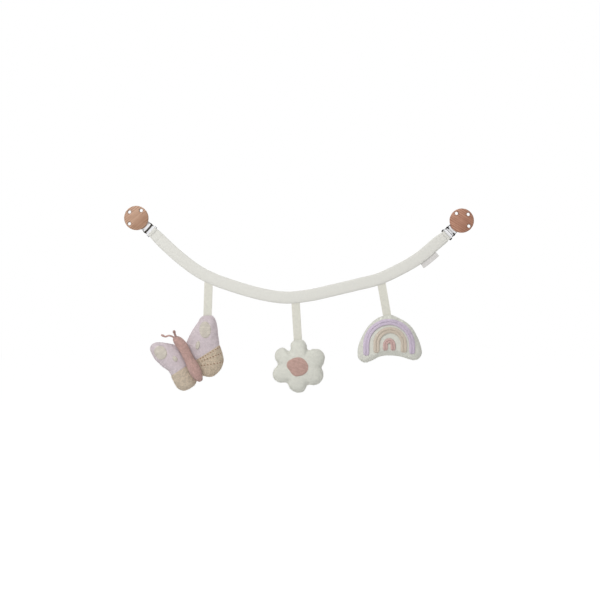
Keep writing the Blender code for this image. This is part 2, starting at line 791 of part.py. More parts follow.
def base_outline():
    """The base plate's outline: a loop, its shoulders, the neck, and a long round-ended jaw."""
    jaw = JAW_WIDTH / 2
    corner_x = BAR_WIDTH / 2 - LOOP_CORNER
    corner_y = LOOP_WIDTH / 2 - LOOP_CORNER
    upper = arc(corner_x, corner_y, LOOP_CORNER, 0.0, math.pi / 2, CORNER_STEPS)
    upper.append((-SLOT_EDGE, LOOP_WIDTH / 2))
    upper.append((-SLOT_EDGE - SHOULDER_LENGTH, NECK_WIDTH / 2))
    upper.append((-BAR_TO_PIN - EAR_LENGTH / 2, NECK_WIDTH / 2))
    upper.append((-BAR_TO_PIN - EAR_LENGTH, jaw))
    upper += arc(jaw - BAR_TO_DISC - JAW_PAST_DISC, 0.0, jaw, math.pi / 2, math.pi, CORNER_STEPS * 2)
    return upper + [(x, -y) for x, y in reversed(upper[:-1])]


def build_clip_base(side, clip, metal, plastic):
    """The stamped base plate with its ears, the hinge pin and the toothed jaw pad."""
    plate = solid(f"{side}_base_plate", plan_prism(base_outline(), -SHEET / 2, SHEET / 2), metal, clip)
    near = -BAR_WIDTH / 2
    half = SLOT_WIDTH / 2
    slot = [(-SLOT_EDGE, -half), (near, -half), (near, half), (-SLOT_EDGE, half)]
    boolean(plate, "DIFFERENCE", plan_prism(slot, -SHEET, SHEET), clip)
    for way in (-1, 1):
        boolean(plate, "UNION", ear(way), clip)
    drill = pin_cylinder(BARREL_BORE, EAR_INSIDE + SHEET + OVERRUN, -BAR_TO_PIN, PIN_HEIGHT)
    boolean(plate, "DIFFERENCE", drill, clip)

    pin_half = EAR_INSIDE + SHEET + PIN_OVERHANG
    solid(f"{side}_hinge_pin", pin_cylinder(PIN_RADIUS, pin_half, -BAR_TO_PIN, PIN_HEIGHT), metal, clip)
    solid(f"{side}_jaw_pad", side_prism(pad_profile(), PAD_WIDTH / 2), plastic, clip)


def ear(way):
    """One lug that stands up from the plate's edge and carries the pin."""
    half = EAR_LENGTH / 2
    head = arc(-BAR_TO_PIN, PIN_HEIGHT, half, 0.0, math.pi, CORNER_STEPS * 2)
    profile = [*head, (-BAR_TO_PIN - half, -SHEET / 2), (-BAR_TO_PIN + half, -SHEET / 2)]
    near = way * EAR_INSIDE
    far = way * (EAR_INSIDE + SHEET)
    return loft([[(x, near, z) for x, z in profile], [(x, far, z) for x, z in profile]])


def pad_profile():
    """The pad as seen along the pin: a flat back and a row of sawn teeth."""
    back = SHEET / 2 + GAP
    tip = PIN_HEIGHT + LEVER_BACK - JAW_GAP
    root = tip - TOOTH_HEIGHT
    start = -(BAR_TO_PIN + PAD_FROM_PIN)
    pitch = PAD_LENGTH / TOOTH_COUNT
    profile = [(start - PAD_LENGTH, back), (start, back)]
    for i in range(TOOTH_COUNT):
        profile.append((start - pitch * i, root))
        profile.append((start - pitch * (i + TOOTH_TIP_SHARE), tip))
    profile.append((start - PAD_LENGTH, root))
    return profile


def build_lever(side, lever, metal, wood):
    """The lever rolled round the pin, the wood disc in front of it, and their rivet."""
    half_width = LEVER_WIDTH / 2
    end = half_width - PIN_TO_DISC - LEVER_PAST_DISC
    outline = [(0.0, half_width), *arc(end, 0.0, half_width, math.pi / 2, 3 * math.pi / 2, CORNER_STEPS * 2)]
    outline.append((0.0, -half_width))
    plate = solid(f"{side}_lever_plate", plan_prism(outline, LEVER_BACK, LEVER_FRONT), metal, lever)
    boolean(plate, "UNION", pin_cylinder(BARREL_RADIUS, half_width, 0.0, 0.0), lever)
    boolean(plate, "DIFFERENCE", pin_cylinder(BARREL_BORE, half_width + OVERRUN, 0.0, 0.0), lever)
    hole_radius = RIVET_DIAMETER / 2 + GAP
    hole = [(hole_radius, LEVER_BACK - OVERRUN), (hole_radius, DISC_BACK + RIVET_GRIP + GAP)]
    boolean(plate, "DIFFERENCE", moved(spin(hole, ROUND_SIDES), -PIN_TO_DISC, 0.0), lever)

    radius = DISC_DIAMETER / 2
    edge = radius - DISC_EDGE
    heel = arc(edge, DISC_BACK + DISC_EDGE, DISC_EDGE, -math.pi / 2, 0.0, DISC_EDGE_STEPS)
    rim = arc(edge, DISC_FRONT - DISC_EDGE, DISC_EDGE, 0.0, math.pi / 2, DISC_EDGE_STEPS)
    disc = solid(f"{side}_wood_disc", moved(spin([*heel, *rim], DISC_SIDES), -PIN_TO_DISC, 0.0), wood, lever)
    for turn in (-HOLE_SPREAD, 0.0, HOLE_SPREAD):
        bore = [(HOLE_DIAMETER / 2, DISC_BACK - OVERRUN), (HOLE_DIAMETER / 2, DISC_FRONT + OVERRUN)]
        x = -PIN_TO_DISC - HOLE_FROM_CENTRE * math.cos(turn)
        y = HOLE_FROM_CENTRE * math.sin(turn)
        boolean(disc, "DIFFERENCE", moved(spin(bore, ROUND_SIDES), x, y), lever)
    boolean(disc, "DIFFERENCE", moved(spin(hole, ROUND_SIDES), -PIN_TO_DISC, 0.0), lever)

    shank = RIVET_DIAMETER / 2
    head = RIVET_HEAD_DIAMETER / 2
    profile = [(head - RIVET_HEAD_HEIGHT, LEVER_BACK - GAP - RIVET_HEAD_HEIGHT), (head, LEVER_BACK - GAP)]
    profile += [(shank, LEVER_BACK - GAP), (shank, DISC_BACK + RIVET_GRIP)]
    solid(f"{side}_disc_rivet", moved(spin(profile, ROUND_SIDES), -PIN_TO_DISC, 0.0), metal, lever)


def moved(shape, x, y):
    """The same shape at another place in the drawing."""
    bmesh.ops.translate(shape, verts=shape.verts, vec=(x, y, 0.0))
    return shape


def build_clip(side, chain, point, turn, finishes):
    """One clip: it swivels on the bar of its loop, and its lever opens on the pin."""
    end = empty(f"{side}_strap_end", chain, point.x, point.y, 0.0, turn)
    build_end_tab(f"{side}_end_tab", end, finishes["jersey"])
    clip = empty(f"{side}_clip_swivel_axis", chain, point.x, point.y, 0.0, turn)
    build_clip_base(side, clip, finishes["steel"], finishes["pad"])
    lever = empty(f"{side}_lever_axis", clip, -BAR_TO_PIN, 0.0, PIN_HEIGHT)
    build_lever(side, lever, finishes["steel"], finishes[f"{side}_wood"])


def build_ribbon(name, chain, route, material):
    """A ribbon from the strap's lower edge; gives the fold line at its foot."""
    place_share, length, lean = RIBBONS[name]
    point, turn = route.at(route.length_at((place_share - 0.5) * STRAP_SPAN_LENGTH))
    across = Vector((-math.sin(turn), math.cos(turn)))
    top = point - across * (STRAP_WIDTH / 2 + HANG_GAP)
    foot = top + length * Vector((math.sin(lean), -math.cos(lean)))
    axis = empty(f"{name}_axis", chain, top.x, top.y, 0.0, turn)
    half = RIBBON_THICKNESS / 2
    along_top = Vector((math.cos(turn), math.sin(turn)))
    slant = math.cos(turn - lean)
    sides = []
    for way in (-1, 1):
        start = along_top * way * RIBBON_WIDTH / 2 / slant
        end = foot - top + Vector((way * RIBBON_WIDTH / 2, 0.0))
        section = []
        for x, z in arc(0.0, 0.0, half, 0.0, math.pi, RIBBON_CORNER_STEPS):
            section.append((start + across * z, x))
        for x, z in arc(0.0, 0.0, half, math.pi, 2 * math.pi, RIBBON_CORNER_STEPS):
            section.append((end + Vector((0.0, z)), x))
        sides.append([(*turned(place, -turn), z) for place, z in section])
    solid(name, loft(sides), material, axis)
    return foot


def turned(place, angle):
    """A place in the drawing, turned about the origin."""
    cosine = math.cos(angle)
    sine = math.sin(angle)
    return Vector((place.x * cosine - place.y * sine, place.x * sine + place.y * cosine))


def oval(middle, half_width, half_height, tilt, count):
    """An egg-shaped outline, tilted, drawn anticlockwise."""
    corners = []
    for i in range(count):
        turn = 2 * math.pi * i / count
        corner = Vector((half_width * math.cos(turn), half_height * math.sin(turn)))
        corners.append(middle + turned(corner, tilt))
    return corners


def wing_outline(way):
    """The right (1) or left (-1) wing's outline about the hinge, with its reach and height."""
    reach = RIGHT_WING_REACH if way > 0 else LEFT_WING_REACH
    height = RIGHT_WING_HEIGHT if way > 0 else LEFT_WING_HEIGHT
    shares = RIGHT_WING_SHARES if way > 0 else LEFT_WING_SHARES
    points = [(way * (WING_FROM_HINGE + x * reach), y * height) for x, y in shares]
    outline = smooth_outline(points[::way], WING_POINTS)
    return [Vector((way * max(way * p.x, WING_FROM_HINGE), p.y)) for p in outline], reach, height


def build_wing(side, way, frame, finishes):
    """One wing: two sewn cloths over one filling, with two patches."""
    outline, reach, height = wing_outline(way)
    middle = (way * (WING_FROM_HINGE + WING_MIDDLE_SHARES[0] * reach), WING_MIDDLE_SHARES[1] * height)
    cushion = Cushion(outline, middle, WING_SWELL, WEDGE_REACH)
    inside = cushion.within(CLOTH)

    seam_y = WING_SEAM_SHARE * height
    far = reach + height
    for level, way_up, cloth in (("upper", 1, "lilac"), ("lower", -1, "beige")):
        cover = solid(f"{side}_wing_{level}_cover", cushion.whole(), finishes[cloth], frame)
        boolean(cover, "DIFFERENCE", inside.whole(), frame)
        start = Vector((-way * far, seam_y - far * math.tan(WING_SEAM_SLOPE) + way_up * SEAM))
        end = Vector((way * far, seam_y + far * math.tan(WING_SEAM_SLOPE) + way_up * SEAM))
        region = [start, end, end + Vector((0.0, way_up * far)), start + Vector((0.0, way_up * far))]
        boolean(cover, "INTERSECT", plan_prism(region, -far, far), frame)
    filling = cushion.within(CLOTH + GAP).whole(CORE_RING_SHARES)
    solid(f"{side}_wing_filling", filling, finishes["filling"], frame)

    big, small = (RIGHT_BIG_PATCH, RIGHT_SMALL_PATCH) if way > 0 else (LEFT_BIG_PATCH, LEFT_SMALL_PATCH)
    for size, (place, half_width, half_height, tilt) in (("big", big), ("small", small)):
        centre = Vector((way * (WING_FROM_HINGE + place[0] * reach), place[1] * height))
        corners = oval(centre, half_width, half_height, tilt, PATCH_POINTS)
        patch(f"{side}_wing_{size}_patch", cushion, corners, centre, finishes["cream"], frame)


def body_sections(wall):
    """Rings round the butterfly's body from tail to head, inside a wall of cloth."""
    rings = []
    for along, wide, aside in BODY_PROFILE_SHARES:
        radius = max(wide * BODY_RADIUS - wall, TAIL_HOLE_RADIUS)
        y = (along - 0.5) * (BODY_LENGTH - 2 * wall)
        turns = [2 * math.pi * i / BODY_SIDES for i in range(BODY_SIDES)]
        centre = Vector((aside * BODY_RADIUS, y, BODY_HEIGHT))
        rings.append([centre + radius * Vector((math.cos(turn), 0.0, math.sin(turn))) for turn in turns])
    return rings


def build_body(body, finishes):
    """The knitted body, open at its gathered tail, with its filling, seam and antennae."""
    cover = loft([*reversed(body_sections(0.0)), *body_sections(CLOTH)])
    solid("butterfly_body_cover", cover, finishes["pink"], body)
    solid("butterfly_body_filling", loft(body_sections(CLOTH + GAP)), finishes["filling"], body)

    half = SEAM_STRIP_WIDTH / 2
    reach = BODY_LENGTH * SEAM_STRIP_SHARE / 2
    top = BODY_HEIGHT - BODY_RADIUS - GAP
    strip = [(-half, -reach), (half, -reach), (half, reach), (-half, reach)]
    solid("butterfly_centre_seam", plan_prism(strip, -SEAM_STRIP_DEPTH, top), finishes["lilac"], body)

    pink = finishes["pink"]
    build_antenna("long", LONG_ANTENNA_LENGTH, LONG_ANTENNA_ROOT, LONG_ANTENNA_SHARES, body, pink)
    build_antenna("short", SHORT_ANTENNA_LENGTH, SHORT_ANTENNA_ROOT, SHORT_ANTENNA_SHARES, body, pink)


def build_antenna(size, length, root, shares, body, material):
    """A thin cord from the head, ending in a knot."""
    radius = ANTENNA_DIAMETER / 2
    along, wide, aside = BODY_PROFILE_SHARES[HEAD_RING]
    head_radius = wide * BODY_RADIUS
    head = Vector((aside * BODY_RADIUS, (along - 0.5) * BODY_LENGTH, BODY_HEIGHT))
    start = head + (head_radius + ANTENNA_FROM_HEAD) * Vector((math.cos(root), math.sin(root), 0.0))
    points = [start + length * Vector(share) for share in shares]
    knot = radius * ANTENNA_KNOT_SHARE
    along = (points[-1] - points[-2]).normalized()
    tail = points[-1]
    for reach in (radius / 2, radius / 2 + knot, radius + 2 * knot):
        points.append(tail + along * reach)
    radii = [radius] * len(shares) + [knot, knot, radius]
    solid(f"butterfly_{size}_antenna", tube(points, radii, ANTENNA_SIDES), material, body)


def build_butterfly(chain, foot, finishes):
    """Right wing, body and left wing: the wings fold back on either side of the body."""
    outline = wing_outline(1)[0]
    origin = foot - hang_place(outline, BUTTERFLY_LEAN, BUTTERFLY_HANG_SHARE * RIGHT_WING_REACH)
    wing_hinge = empty("right_wing_hang_axis", chain, foot.x, foot.y)
    right = empty("right_wing", wing_hinge, *(origin - foot), 0.0, BUTTERFLY_LEAN)
    build_wing("right", 1, right, finishes)
    body = empty("butterfly_body_axis", chain, origin.x, origin.y, 0.0, BUTTERFLY_LEAN)
    build_body(body, finishes)
    left = empty("left_wing_axis", body)
    build_wing("left", -1, left, finishes)


def flower_outline():
    """Six round petals between notches, as a formula."""
    outline = []
    for i, (start, near) in enumerate(FLOWER_NOTCHES):
        end, far = FLOWER_NOTCHES[(i + 1) % len(FLOWER_NOTCHES)]
        if end < start:
            end += 2 * math.pi
        for step in range(PETAL_STEPS):
            share = step / PETAL_STEPS
            turn = start + (end - start) * share
            floor = near + (far - near) * share
            reach = floor + (FLOWER_PETAL_SHARES[i] - floor) * math.sin(math.pi * share) ** PETAL_ROUNDNESS
            outline.append(Vector((math.cos(turn), math.sin(turn))) * reach * FLOWER_RADIUS)
    return outline


def build_flower(chain, foot, finishes):
    """Two sewn faces over a filling, with a knitted middle."""
    outline = flower_outline()
    axis = empty("flower_axis", chain, foot.x, foot.y)
    flower = empty("flower", axis, *-hang_place(outline, 0.0, FLOWER_HANG_SHARE * FLOWER_RADIUS))
    cushion = Cushion(outline, (0.0, 0.0), FLOWER_SWELL)
    solid("flower_front_panel", cushion.panel(1), finishes["white"], flower)
    solid("flower_back_panel", cushion.panel(-1), finishes["white"], flower)
    filling = cushion.within(CLOTH + GAP).whole(CORE_RING_SHARES)
    solid("flower_filling", filling, finishes["filling"], flower)
    centre = Vector(FLOWER_MIDDLE_PLACE_SHARES) * FLOWER_RADIUS
    corners = []
    count = len(FLOWER_MIDDLE_SHARES)
    for i, share in enumerate(FLOWER_MIDDLE_SHARES):
        turn = 2 * math.pi * i / count
        corners.append(centre + Vector((math.cos(turn), math.sin(turn))) * share * FLOWER_MIDDLE_SIZE)
    patch("flower_middle", cushion, corners, centre, finishes["pink"], flower)


def bow_route(middle, half_span, rise, left_leg, right_leg):
    """An arch with two legs, as points and the way across it at each."""
    left = []
    right = []
    for i in range(BOW_LEG_STEPS):
        low = left_leg * (1 - i / BOW_LEG_STEPS)
        left.append((middle + Vector((-half_span, -low)), Vector((-1.0, 0.0))))
        low = right_leg * (i + 1) / BOW_LEG_STEPS
        right.append((middle + Vector((half_span, -low)), Vector((1.0, 0.0))))
    arch = []
    for i in range(BOW_STEPS + 1):
        turn = math.pi * (1 - i / BOW_STEPS)
        away = Vector((math.cos(turn) * rise, math.sin(turn) * half_span)).normalized()
        arch.append((middle + Vector((math.cos(turn) * half_span, math.sin(turn) * rise)), away))
    return left + arch + right


def build_bow(name, cushion, middle, half_span, rise, width, left_leg, right_leg, material, parent):
    """One raised bow: two cords side by side, laid on the cushion's front."""
    rings = []
    for place, away in bow_route(middle, half_span, rise, left_leg, right_leg):
        ring = []
        for share in (-1, 0, 1):
            under = place + away * share * width / 2
            ring.append((under.x, under.y, SEAM + cushion.height(under) + LAY))
        for share, lift in BOW_TOP_SHARES:
            over = place + away * share * width / 2
            ring.append((over.x, over.y, SEAM + cushion.height(over) + LAY + lift * BOW_THICKNESS))
        rings.append(ring)
    solid(name, loft(rings), material, parent)


def build_rainbow(chain, foot, finishes):
    """Two sewn faces over a filling, with three bows on the front."""
    points = [(x * RAINBOW_WIDTH, y * RAINBOW_HEIGHT) for x, y in RAINBOW_SHARES]
    outline = smooth_outline(points[::-1], RAINBOW_POINTS)
    axis = empty("rainbow_axis", chain, foot.x, foot.y)
    rainbow = empty("rainbow", axis, *-hang_place(outline, 0.0, RAINBOW_HANG_SHARE * RAINBOW_WIDTH))
    middle = (RAINBOW_MIDDLE_SHARES[0] * RAINBOW_WIDTH, RAINBOW_MIDDLE_SHARES[1] * RAINBOW_HEIGHT)
    cushion = Cushion(outline, middle, RAINBOW_SWELL)
    solid("rainbow_front_panel", cushion.panel(1), finishes["white"], rainbow)
    solid("rainbow_back_panel", cushion.panel(-1), finishes["white"], rainbow)
    filling = cushion.within(CLOTH + GAP).whole(CORE_RING_SHARES)
    solid("rainbow_filling", filling, finishes["filling"], rainbow)
    cloths = (finishes["lilac_cord"], finishes["beige"], finishes["pink"])
    for (name, place, half_span, rise, width, left_leg, right_leg), cloth in zip(BOWS, cloths):
        centre = Vector((place[0] * RAINBOW_WIDTH, place[1] * RAINBOW_HEIGHT))
        build_bow(name, cushion, centre, half_span, rise, width, left_leg, right_leg, cloth, rainbow)


def centre_on_origin(chain):
    """Move the chain so that the middle of its box is the origin."""
    bpy.context.view_layer.update()
    graph = bpy.context.evaluated_depsgraph_get()
    low = Vector((math.inf,) * 3)
    high = Vector((-math.inf,) * 3)
    for piece in bpy.data.objects:
        if piece.type != "MESH" or piece.hide_render:
            continue
        shown = piece.evaluated_get(graph)
        for vert in shown.data.vertices:
            place = shown.matrix_world @ vert.co
            low = Vector(map(min, low, place))
            high = Vector(map(max, high, place))
    chain.location = -(low + high) / 2


def main():
    """Build the whole toy."""
    clear_scene()
    finishes = {
        "jersey": paint("strap_jersey", 218, 217, 211, 0.95),
        "felt": paint("core_felt", 226, 224, 217, 0.95),
        "tag": paint("bare_tag", 214, 211, 207, 0.8),
        "steel": paint("clip_steel", 214, 214, 216, 0.16, 1.0),
        "pad": paint("jaw_plastic", 236, 235, 230, 0.5),
        "left_wood": paint("left_beech", 186, 152, 128, 0.55),
        "right_wood": paint("right_beech", 170, 128, 107, 0.55),
        "ribbon": paint("ribbon_twill", 217, 216, 206, 0.9),
        "white": paint("toy_white_jersey", 210, 210, 202, 0.95),
        "filling": paint("toy_filling", 240, 240, 238, 1.0),
        "lilac": paint("wing_lilac", 203, 193, 199, 0.95),
        "beige": paint("knit_beige", 194, 180, 161, 0.95),
        "cream": paint("patch_cream", 206, 198, 186, 0.95),
        "pink": paint("knit_pink", 184, 152, 144, 0.95),
        "lilac_cord": paint("bow_lilac", 193, 181, 195, 0.95),
    }
    chain = empty("chain", None)
    chain.rotation_euler = (math.pi / 2, 0.0, 0.0)
    route = strap_route()
    build_strap(chain, route, finishes)
    start, start_turn = route.at(0.0)
    end, end_turn = route.at(route.length)
    build_clip("left", chain, start, start_turn, finishes)
    build_clip("right", chain, end, end_turn + math.pi, finishes)

    ribbon = finishes["ribbon"]
    foot = build_ribbon("butterfly_ribbon", chain, route, ribbon)
    build_butterfly(chain, foot, finishes)
    foot = build_ribbon("flower_ribbon", chain, route, ribbon)
    build_flower(chain, foot, finishes)
    foot = build_ribbon("rainbow_ribbon", chain, route, ribbon)
    build_rainbow(chain, foot, finishes)
    centre_on_origin(chain)


main()
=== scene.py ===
"""Looks for a pram chain toy: a soft strap between two wood-disc clips, with three stuffed toys.

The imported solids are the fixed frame. The clips' metal and plastic pieces show as they are and
get their finishes here. Every soft piece and both wood discs are built again in finer mesh, in
the place that their solids hold. Lengths are in metres and angles in radians.
"""

import json
import logging
import math
from contextlib import contextmanager
from dataclasses import dataclass
from enum import Enum
from typing import Iterator, Optional, Sequence

import bmesh
import bpy
import numpy as np
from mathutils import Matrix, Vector, noise
from mathutils.bvhtree import BVHTree


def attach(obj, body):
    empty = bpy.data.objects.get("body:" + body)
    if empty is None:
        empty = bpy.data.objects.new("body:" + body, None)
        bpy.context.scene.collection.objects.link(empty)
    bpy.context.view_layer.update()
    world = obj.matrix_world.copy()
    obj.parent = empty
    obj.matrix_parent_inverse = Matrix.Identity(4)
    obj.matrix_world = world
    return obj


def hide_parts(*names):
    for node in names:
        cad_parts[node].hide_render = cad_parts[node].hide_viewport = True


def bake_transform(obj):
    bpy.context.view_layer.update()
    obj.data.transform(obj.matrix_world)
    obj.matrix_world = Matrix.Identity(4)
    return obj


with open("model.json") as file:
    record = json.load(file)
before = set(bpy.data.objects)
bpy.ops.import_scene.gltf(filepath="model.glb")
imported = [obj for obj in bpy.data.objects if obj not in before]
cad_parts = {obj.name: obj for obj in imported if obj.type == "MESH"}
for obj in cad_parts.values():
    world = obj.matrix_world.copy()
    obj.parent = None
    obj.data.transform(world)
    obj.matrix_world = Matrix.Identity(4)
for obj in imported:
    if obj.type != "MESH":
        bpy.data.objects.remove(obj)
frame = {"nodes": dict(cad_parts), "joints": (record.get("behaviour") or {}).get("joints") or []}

log = logging.getLogger("pram_chain_toy")

Array = np.ndarray
Material = bpy.types.Material
Socket = bpy.types.NodeSocket
Thing = bpy.types.Object
Colour = tuple[int, int, int]
Pair = tuple[float, float]
Triple = tuple[float, float, float]

MM = 0.001
TOWARDS_VIEWER = Vector((0.0, -1.0, 0.0))
HOLE_SHADE_MARK = "drilled"  # the mesh attribute that is 1 in the holes of a wood disc, where painted shade goes
CLOTH_MAP = "Cloth"  # the map that holds a cloth's own coordinates, in metres
COVER_WALL = 1.9 * MM  # from a stuffed cover's outside to its filling
ROUND_EDGE = 0.57  # how much longer a quarter of a circle is than its radius


class Named(Enum):
    """A choice whose name stands in the names of pieces."""

    @property
    def word(self) -> str:
        """The choice's name in small letters."""
        return self.name.lower()


class Side(Named):
    """The left or right one of a pair, as the viewer sees it."""

    LEFT = -1
    RIGHT = 1


class Face(Named):
    """The face of a flat piece that looks at the viewer, or the one behind."""

    FRONT = 1
    BACK = -1


class Level(Named):
    """The part of a wing above or below the join of its two cloths."""

    UPPER = 1
    LOWER = -1


def linear(colour: Colour) -> tuple[float, ...]:
    """A screen's red, green and blue from 0 to 255 in the shader's own scale, with the alpha."""
    shares = (level / 255 for level in colour)
    return (*(s / 12.92 if s <= 0.04045 else ((s + 0.055) / 1.055) ** 2.4 for s in shares), 1.0)


# Drawings and lines


def joint_named(name: str) -> dict:
    """The frame's record of a joint."""
    return next(joint for joint in frame["joints"] if joint["name"] == name)


@dataclass(frozen=True)
class Drawing:
    """A flat drawing set up in the row frame: x right, y up and z towards the viewer."""

    origin: Vector
    right: Vector
    up: Vector

    @classmethod
    def at_hinge(cls, joint: str, lean: float = 0.0) -> "Drawing":
        """A drawing with its origin on a joint, turned anticlockwise by its lean."""
        cosine, sine = math.cos(lean), math.sin(lean)
        place = Vector(joint_named(joint)["pos_m"])
        return cls(place, Vector((cosine, 0.0, sine)), Vector((-sine, 0.0, cosine)))

    @classmethod
    def along_axis(cls, joint: str) -> "Drawing":
        """A drawing with its origin on a joint and its y along the joint's axis."""
        found = joint_named(joint)
        up = Vector(found["axis"]).normalized()
        return cls(Vector(found["pos_m"]), up.cross(TOWARDS_VIEWER), up)

    @classmethod
    def at_pin(cls, side: Side) -> "Drawing":
        """A drawing with its origin on a clip's hinge pin and its y along the pin."""
        return cls.along_axis(f"{side.word}_lever_opening")

    def moved(self, x: float, y: float) -> "Drawing":
        """The same drawing with its origin at x and y."""
        return Drawing(self.origin + self.right * x + self.up * y, self.right, self.up)

    def world(self, points: Array) -> Array:
        """Points of the drawing in the row frame, both as rows of three."""
        axes = np.array([self.right, self.up, TOWARDS_VIEWER], float)
        return np.asarray(points, float) @ axes + np.array(self.origin, float)


def circle(count: int) -> Array:
    """Angles evenly round a circle, from 0 on."""
    return np.linspace(0.0, math.tau, count, endpoint=False)


def blunt(waves: Array, power: float) -> Array:
    """Sines or cosines that make a blunter round than a circle, the more so the smaller the power."""
    return np.sign(waves) * np.abs(waves) ** power


def columns(*parts: object) -> Array:
    """Columns side by side, of which a bare number fills its own."""
    return np.column_stack(np.broadcast_arrays(*parts))


def smooth_line(points: Array, steps: int, closed: bool) -> Array:
    """Run a smooth line through points.

    Args:
        points: the points as rows. An open line takes its first and last as guides only.
        steps: how many points there are from one given point to the next.
        closed: whether the line returns to its start.

    Returns:
        The line's points as rows.
    """
    if closed:
        points = np.vstack([points[-1:], points, points[:2]])
    share = (np.arange(steps) / steps)[:, None]
    spans = []
    for before, start, end, after in zip(points, points[1:], points[2:], points[3:]):
        bend = 2 * before - 5 * start + 4 * end - after
        twist = 3 * start - before - 3 * end + after
        spans.append(0.5 * (2 * start + (end - before) * share + bend * share**2 + twist * share**3))
    line = np.vstack(spans)
    return line if closed else np.vstack([line, points[-2]])


def lengths_along(line: Array) -> Array:
    """The length from a line's start to each of its points."""
    return np.concatenate([[0.0], np.cumsum(np.linalg.norm(np.diff(line, axis=0), axis=1))])


def directions(line: Array) -> Array:
    """The direction of a line at each of its points."""
    ways = np.gradient(line, axis=0)
    return ways / np.linalg.norm(ways, axis=1)[:, None]


def read(values: Array, along: Array, wanted: Array) -> Array:
    """Rows of values that go with lengths along a line, read at other lengths."""
    return np.stack([np.interp(wanted, along, column) for column in values.T], axis=1)


def evenly(line: Array, count: int, closed: bool) -> Array:
    """Space a line's points evenly.

    Args:
        line: the line's points as rows.
        count: how many points to give.
        closed: whether the line returns to its start.

    Returns:
        The new points as rows.
    """
    if closed:
        line = np.vstack([line, line[:1]])
    along = lengths_along(line)
    wanted = np.linspace(0.0, along[-1], count, endpoint=not closed)
    return read(line, along, wanted)


def turned(points: Array, angle: float) -> Array:
    """Points of a drawing, turned about its origin."""
    cosine, sine = math.cos(angle), math.sin(angle)
    return points @ np.array([[cosine, sine], [-sine, cosine]])


def ripple(points: Array, size: float, seed: float = 0.0) -> Array:
    """Soft unevenness, from about -1 to 1.

    Args:
        points: places as rows of two or three.
        size: how far one hollow is from the next.
        seed: moves the pattern, so that no two pieces share it.

    Returns:
        One value for each place.
    """
    rows = [(*p, 0.0)[:3] for p in points]
    offset = Vector((seed, seed * 0.7, seed * 1.3))
    return np.array([noise.noise(Vector(row) / size + offset) for row in rows])


class Route:
    """A smooth line through a few points of a drawing, read by the length along it."""

    STEPS = 24

    def __init__(self, points: Sequence[Pair], start_slope: float, end_slope: float) -> None:
        """Run the line and measure it.

        Args:
            points: the places it passes through.
            start_slope: its direction at its start.
            end_slope: its direction at its end.
        """
        places = np.array(points, float)
        first = np.linalg.norm(places[1] - places[0])
        last = np.linalg.norm(places[-1] - places[-2])
        lead_in = places[1] - 2 * first * np.array([math.cos(start_slope), math.sin(start_slope)])
        lead_out = places[-2] + 2 * last * np.array([math.cos(end_slope), math.sin(end_slope)])
        self.line = smooth_line(np.vstack([lead_in, places, lead_out]), self.STEPS, False)
        self.along = lengths_along(self.line)
        self.length = float(self.along[-1])
        self.ways = directions(self.line)

    def at(self, lengths: Array) -> tuple[Array, Array]:
        """Read the line at some lengths along it.

        Args:
            lengths: the lengths from its start.

        Returns:
            The places, and the directions across the line to its left.
        """
        way = read(self.ways, self.along, lengths)
        way /= np.linalg.norm(way, axis=1)[:, None]
        return read(self.line, self.along, lengths), columns(-way[:, 1], way[:, 0])

    def length_at(self, x: float) -> float:
        """The length along the line at which it passes x."""
        return float(np.interp(x, self.line[:, 0], self.along))


# Meshes


class Draft:
    """A mesh in the making, in a drawing's coordinates, with the cloth's own map."""

    def __init__(self) -> None:
        """Start with nothing."""
        self.points: list[Array] = []
        self.faces: list[list[int]] = []
        self.maps: list[list[Pair]] = []
        self.count = 0

    def grid(self, rows: Array, cloth: Array, wrap: bool = False) -> Array:
        """Add a net of quads.

        Args:
            rows: points as (row, column, 3).
            cloth: the map's coordinates as (row, column, 2), with one more column if it wraps.
            wrap: whether the last column joins the first.

        Returns:
            The index of each point, as (row, column).
        """
        tall, wide = rows.shape[:2]
        numbers = np.arange(tall * wide).reshape(tall, wide) + self.count
        self.points.append(rows.reshape(-1, 3))
        self.count += tall * wide
        for i in range(tall - 1):
            for j in range(wide if wrap else wide - 1):
                k = (j + 1) % wide
                self.faces.append([numbers[i, j], numbers[i, k], numbers[i + 1, k], numbers[i + 1, j]])
                corners = [cloth[i, j], cloth[i, j + 1], cloth[i + 1, j + 1], cloth[i + 1, j]]
                self.maps.append([tuple(c) for c in corners])
        return numbers

    def cap(self, ring: Sequence[int], tip: Array, place: Pair, around: Array) -> None:
        """Close a ring with triangles to one point.

        Args:
            ring: the indices of the ring's points.
            tip: the point that they meet at.
            place: the tip's place on the cloth's map.
            around: the ring's places on the cloth's map.
        """
        self.points.append(np.asarray(tip, float).reshape(1, 3))
        for j, number in enumerate(ring):
            k = (j + 1) % len(ring)
            self.faces.append([number, ring[k], self.count])
            self.maps.append([tuple(around[j]), tuple(around[k]), tuple(place)])
        self.count += 1

    def build(self, name: str, drawing: Optional[Drawing] = None) -> Thing:
        """Make the mesh object, facing outwards and smoothly shaded.

        Args:
            name: the piece's name.
            drawing: where the draft stands. Without it, the mesh keeps the draft's coordinates.

        Returns:
            The new object.
        """
        points = np.vstack(self.points)
        if drawing:
            points = drawing.world(points)
        mesh = bpy.data.meshes.new(name)
        mesh.from_pydata(points.tolist(), [], [[int(number) for number in face] for face in self.faces])
        layer = mesh.uv_layers.new(name=CLOTH_MAP)
        flat = np.array([corner for corners in self.maps for corner in corners], np.float32)
        layer.data.foreach_set("uv", flat.ravel())
        with opened(mesh) as shape:
            bmesh.ops.recalc_face_normals(shape, faces=shape.faces)
        mesh.shade_smooth()
        return on_stage(name, mesh)


@contextmanager
def opened(mesh: bpy.types.Mesh) -> Iterator[bmesh.types.BMesh]:
    """A mesh, opened to be edited and then written back."""
    shape = bmesh.new()
    shape.from_mesh(mesh)
    yield shape
    shape.to_mesh(mesh)
    shape.free()


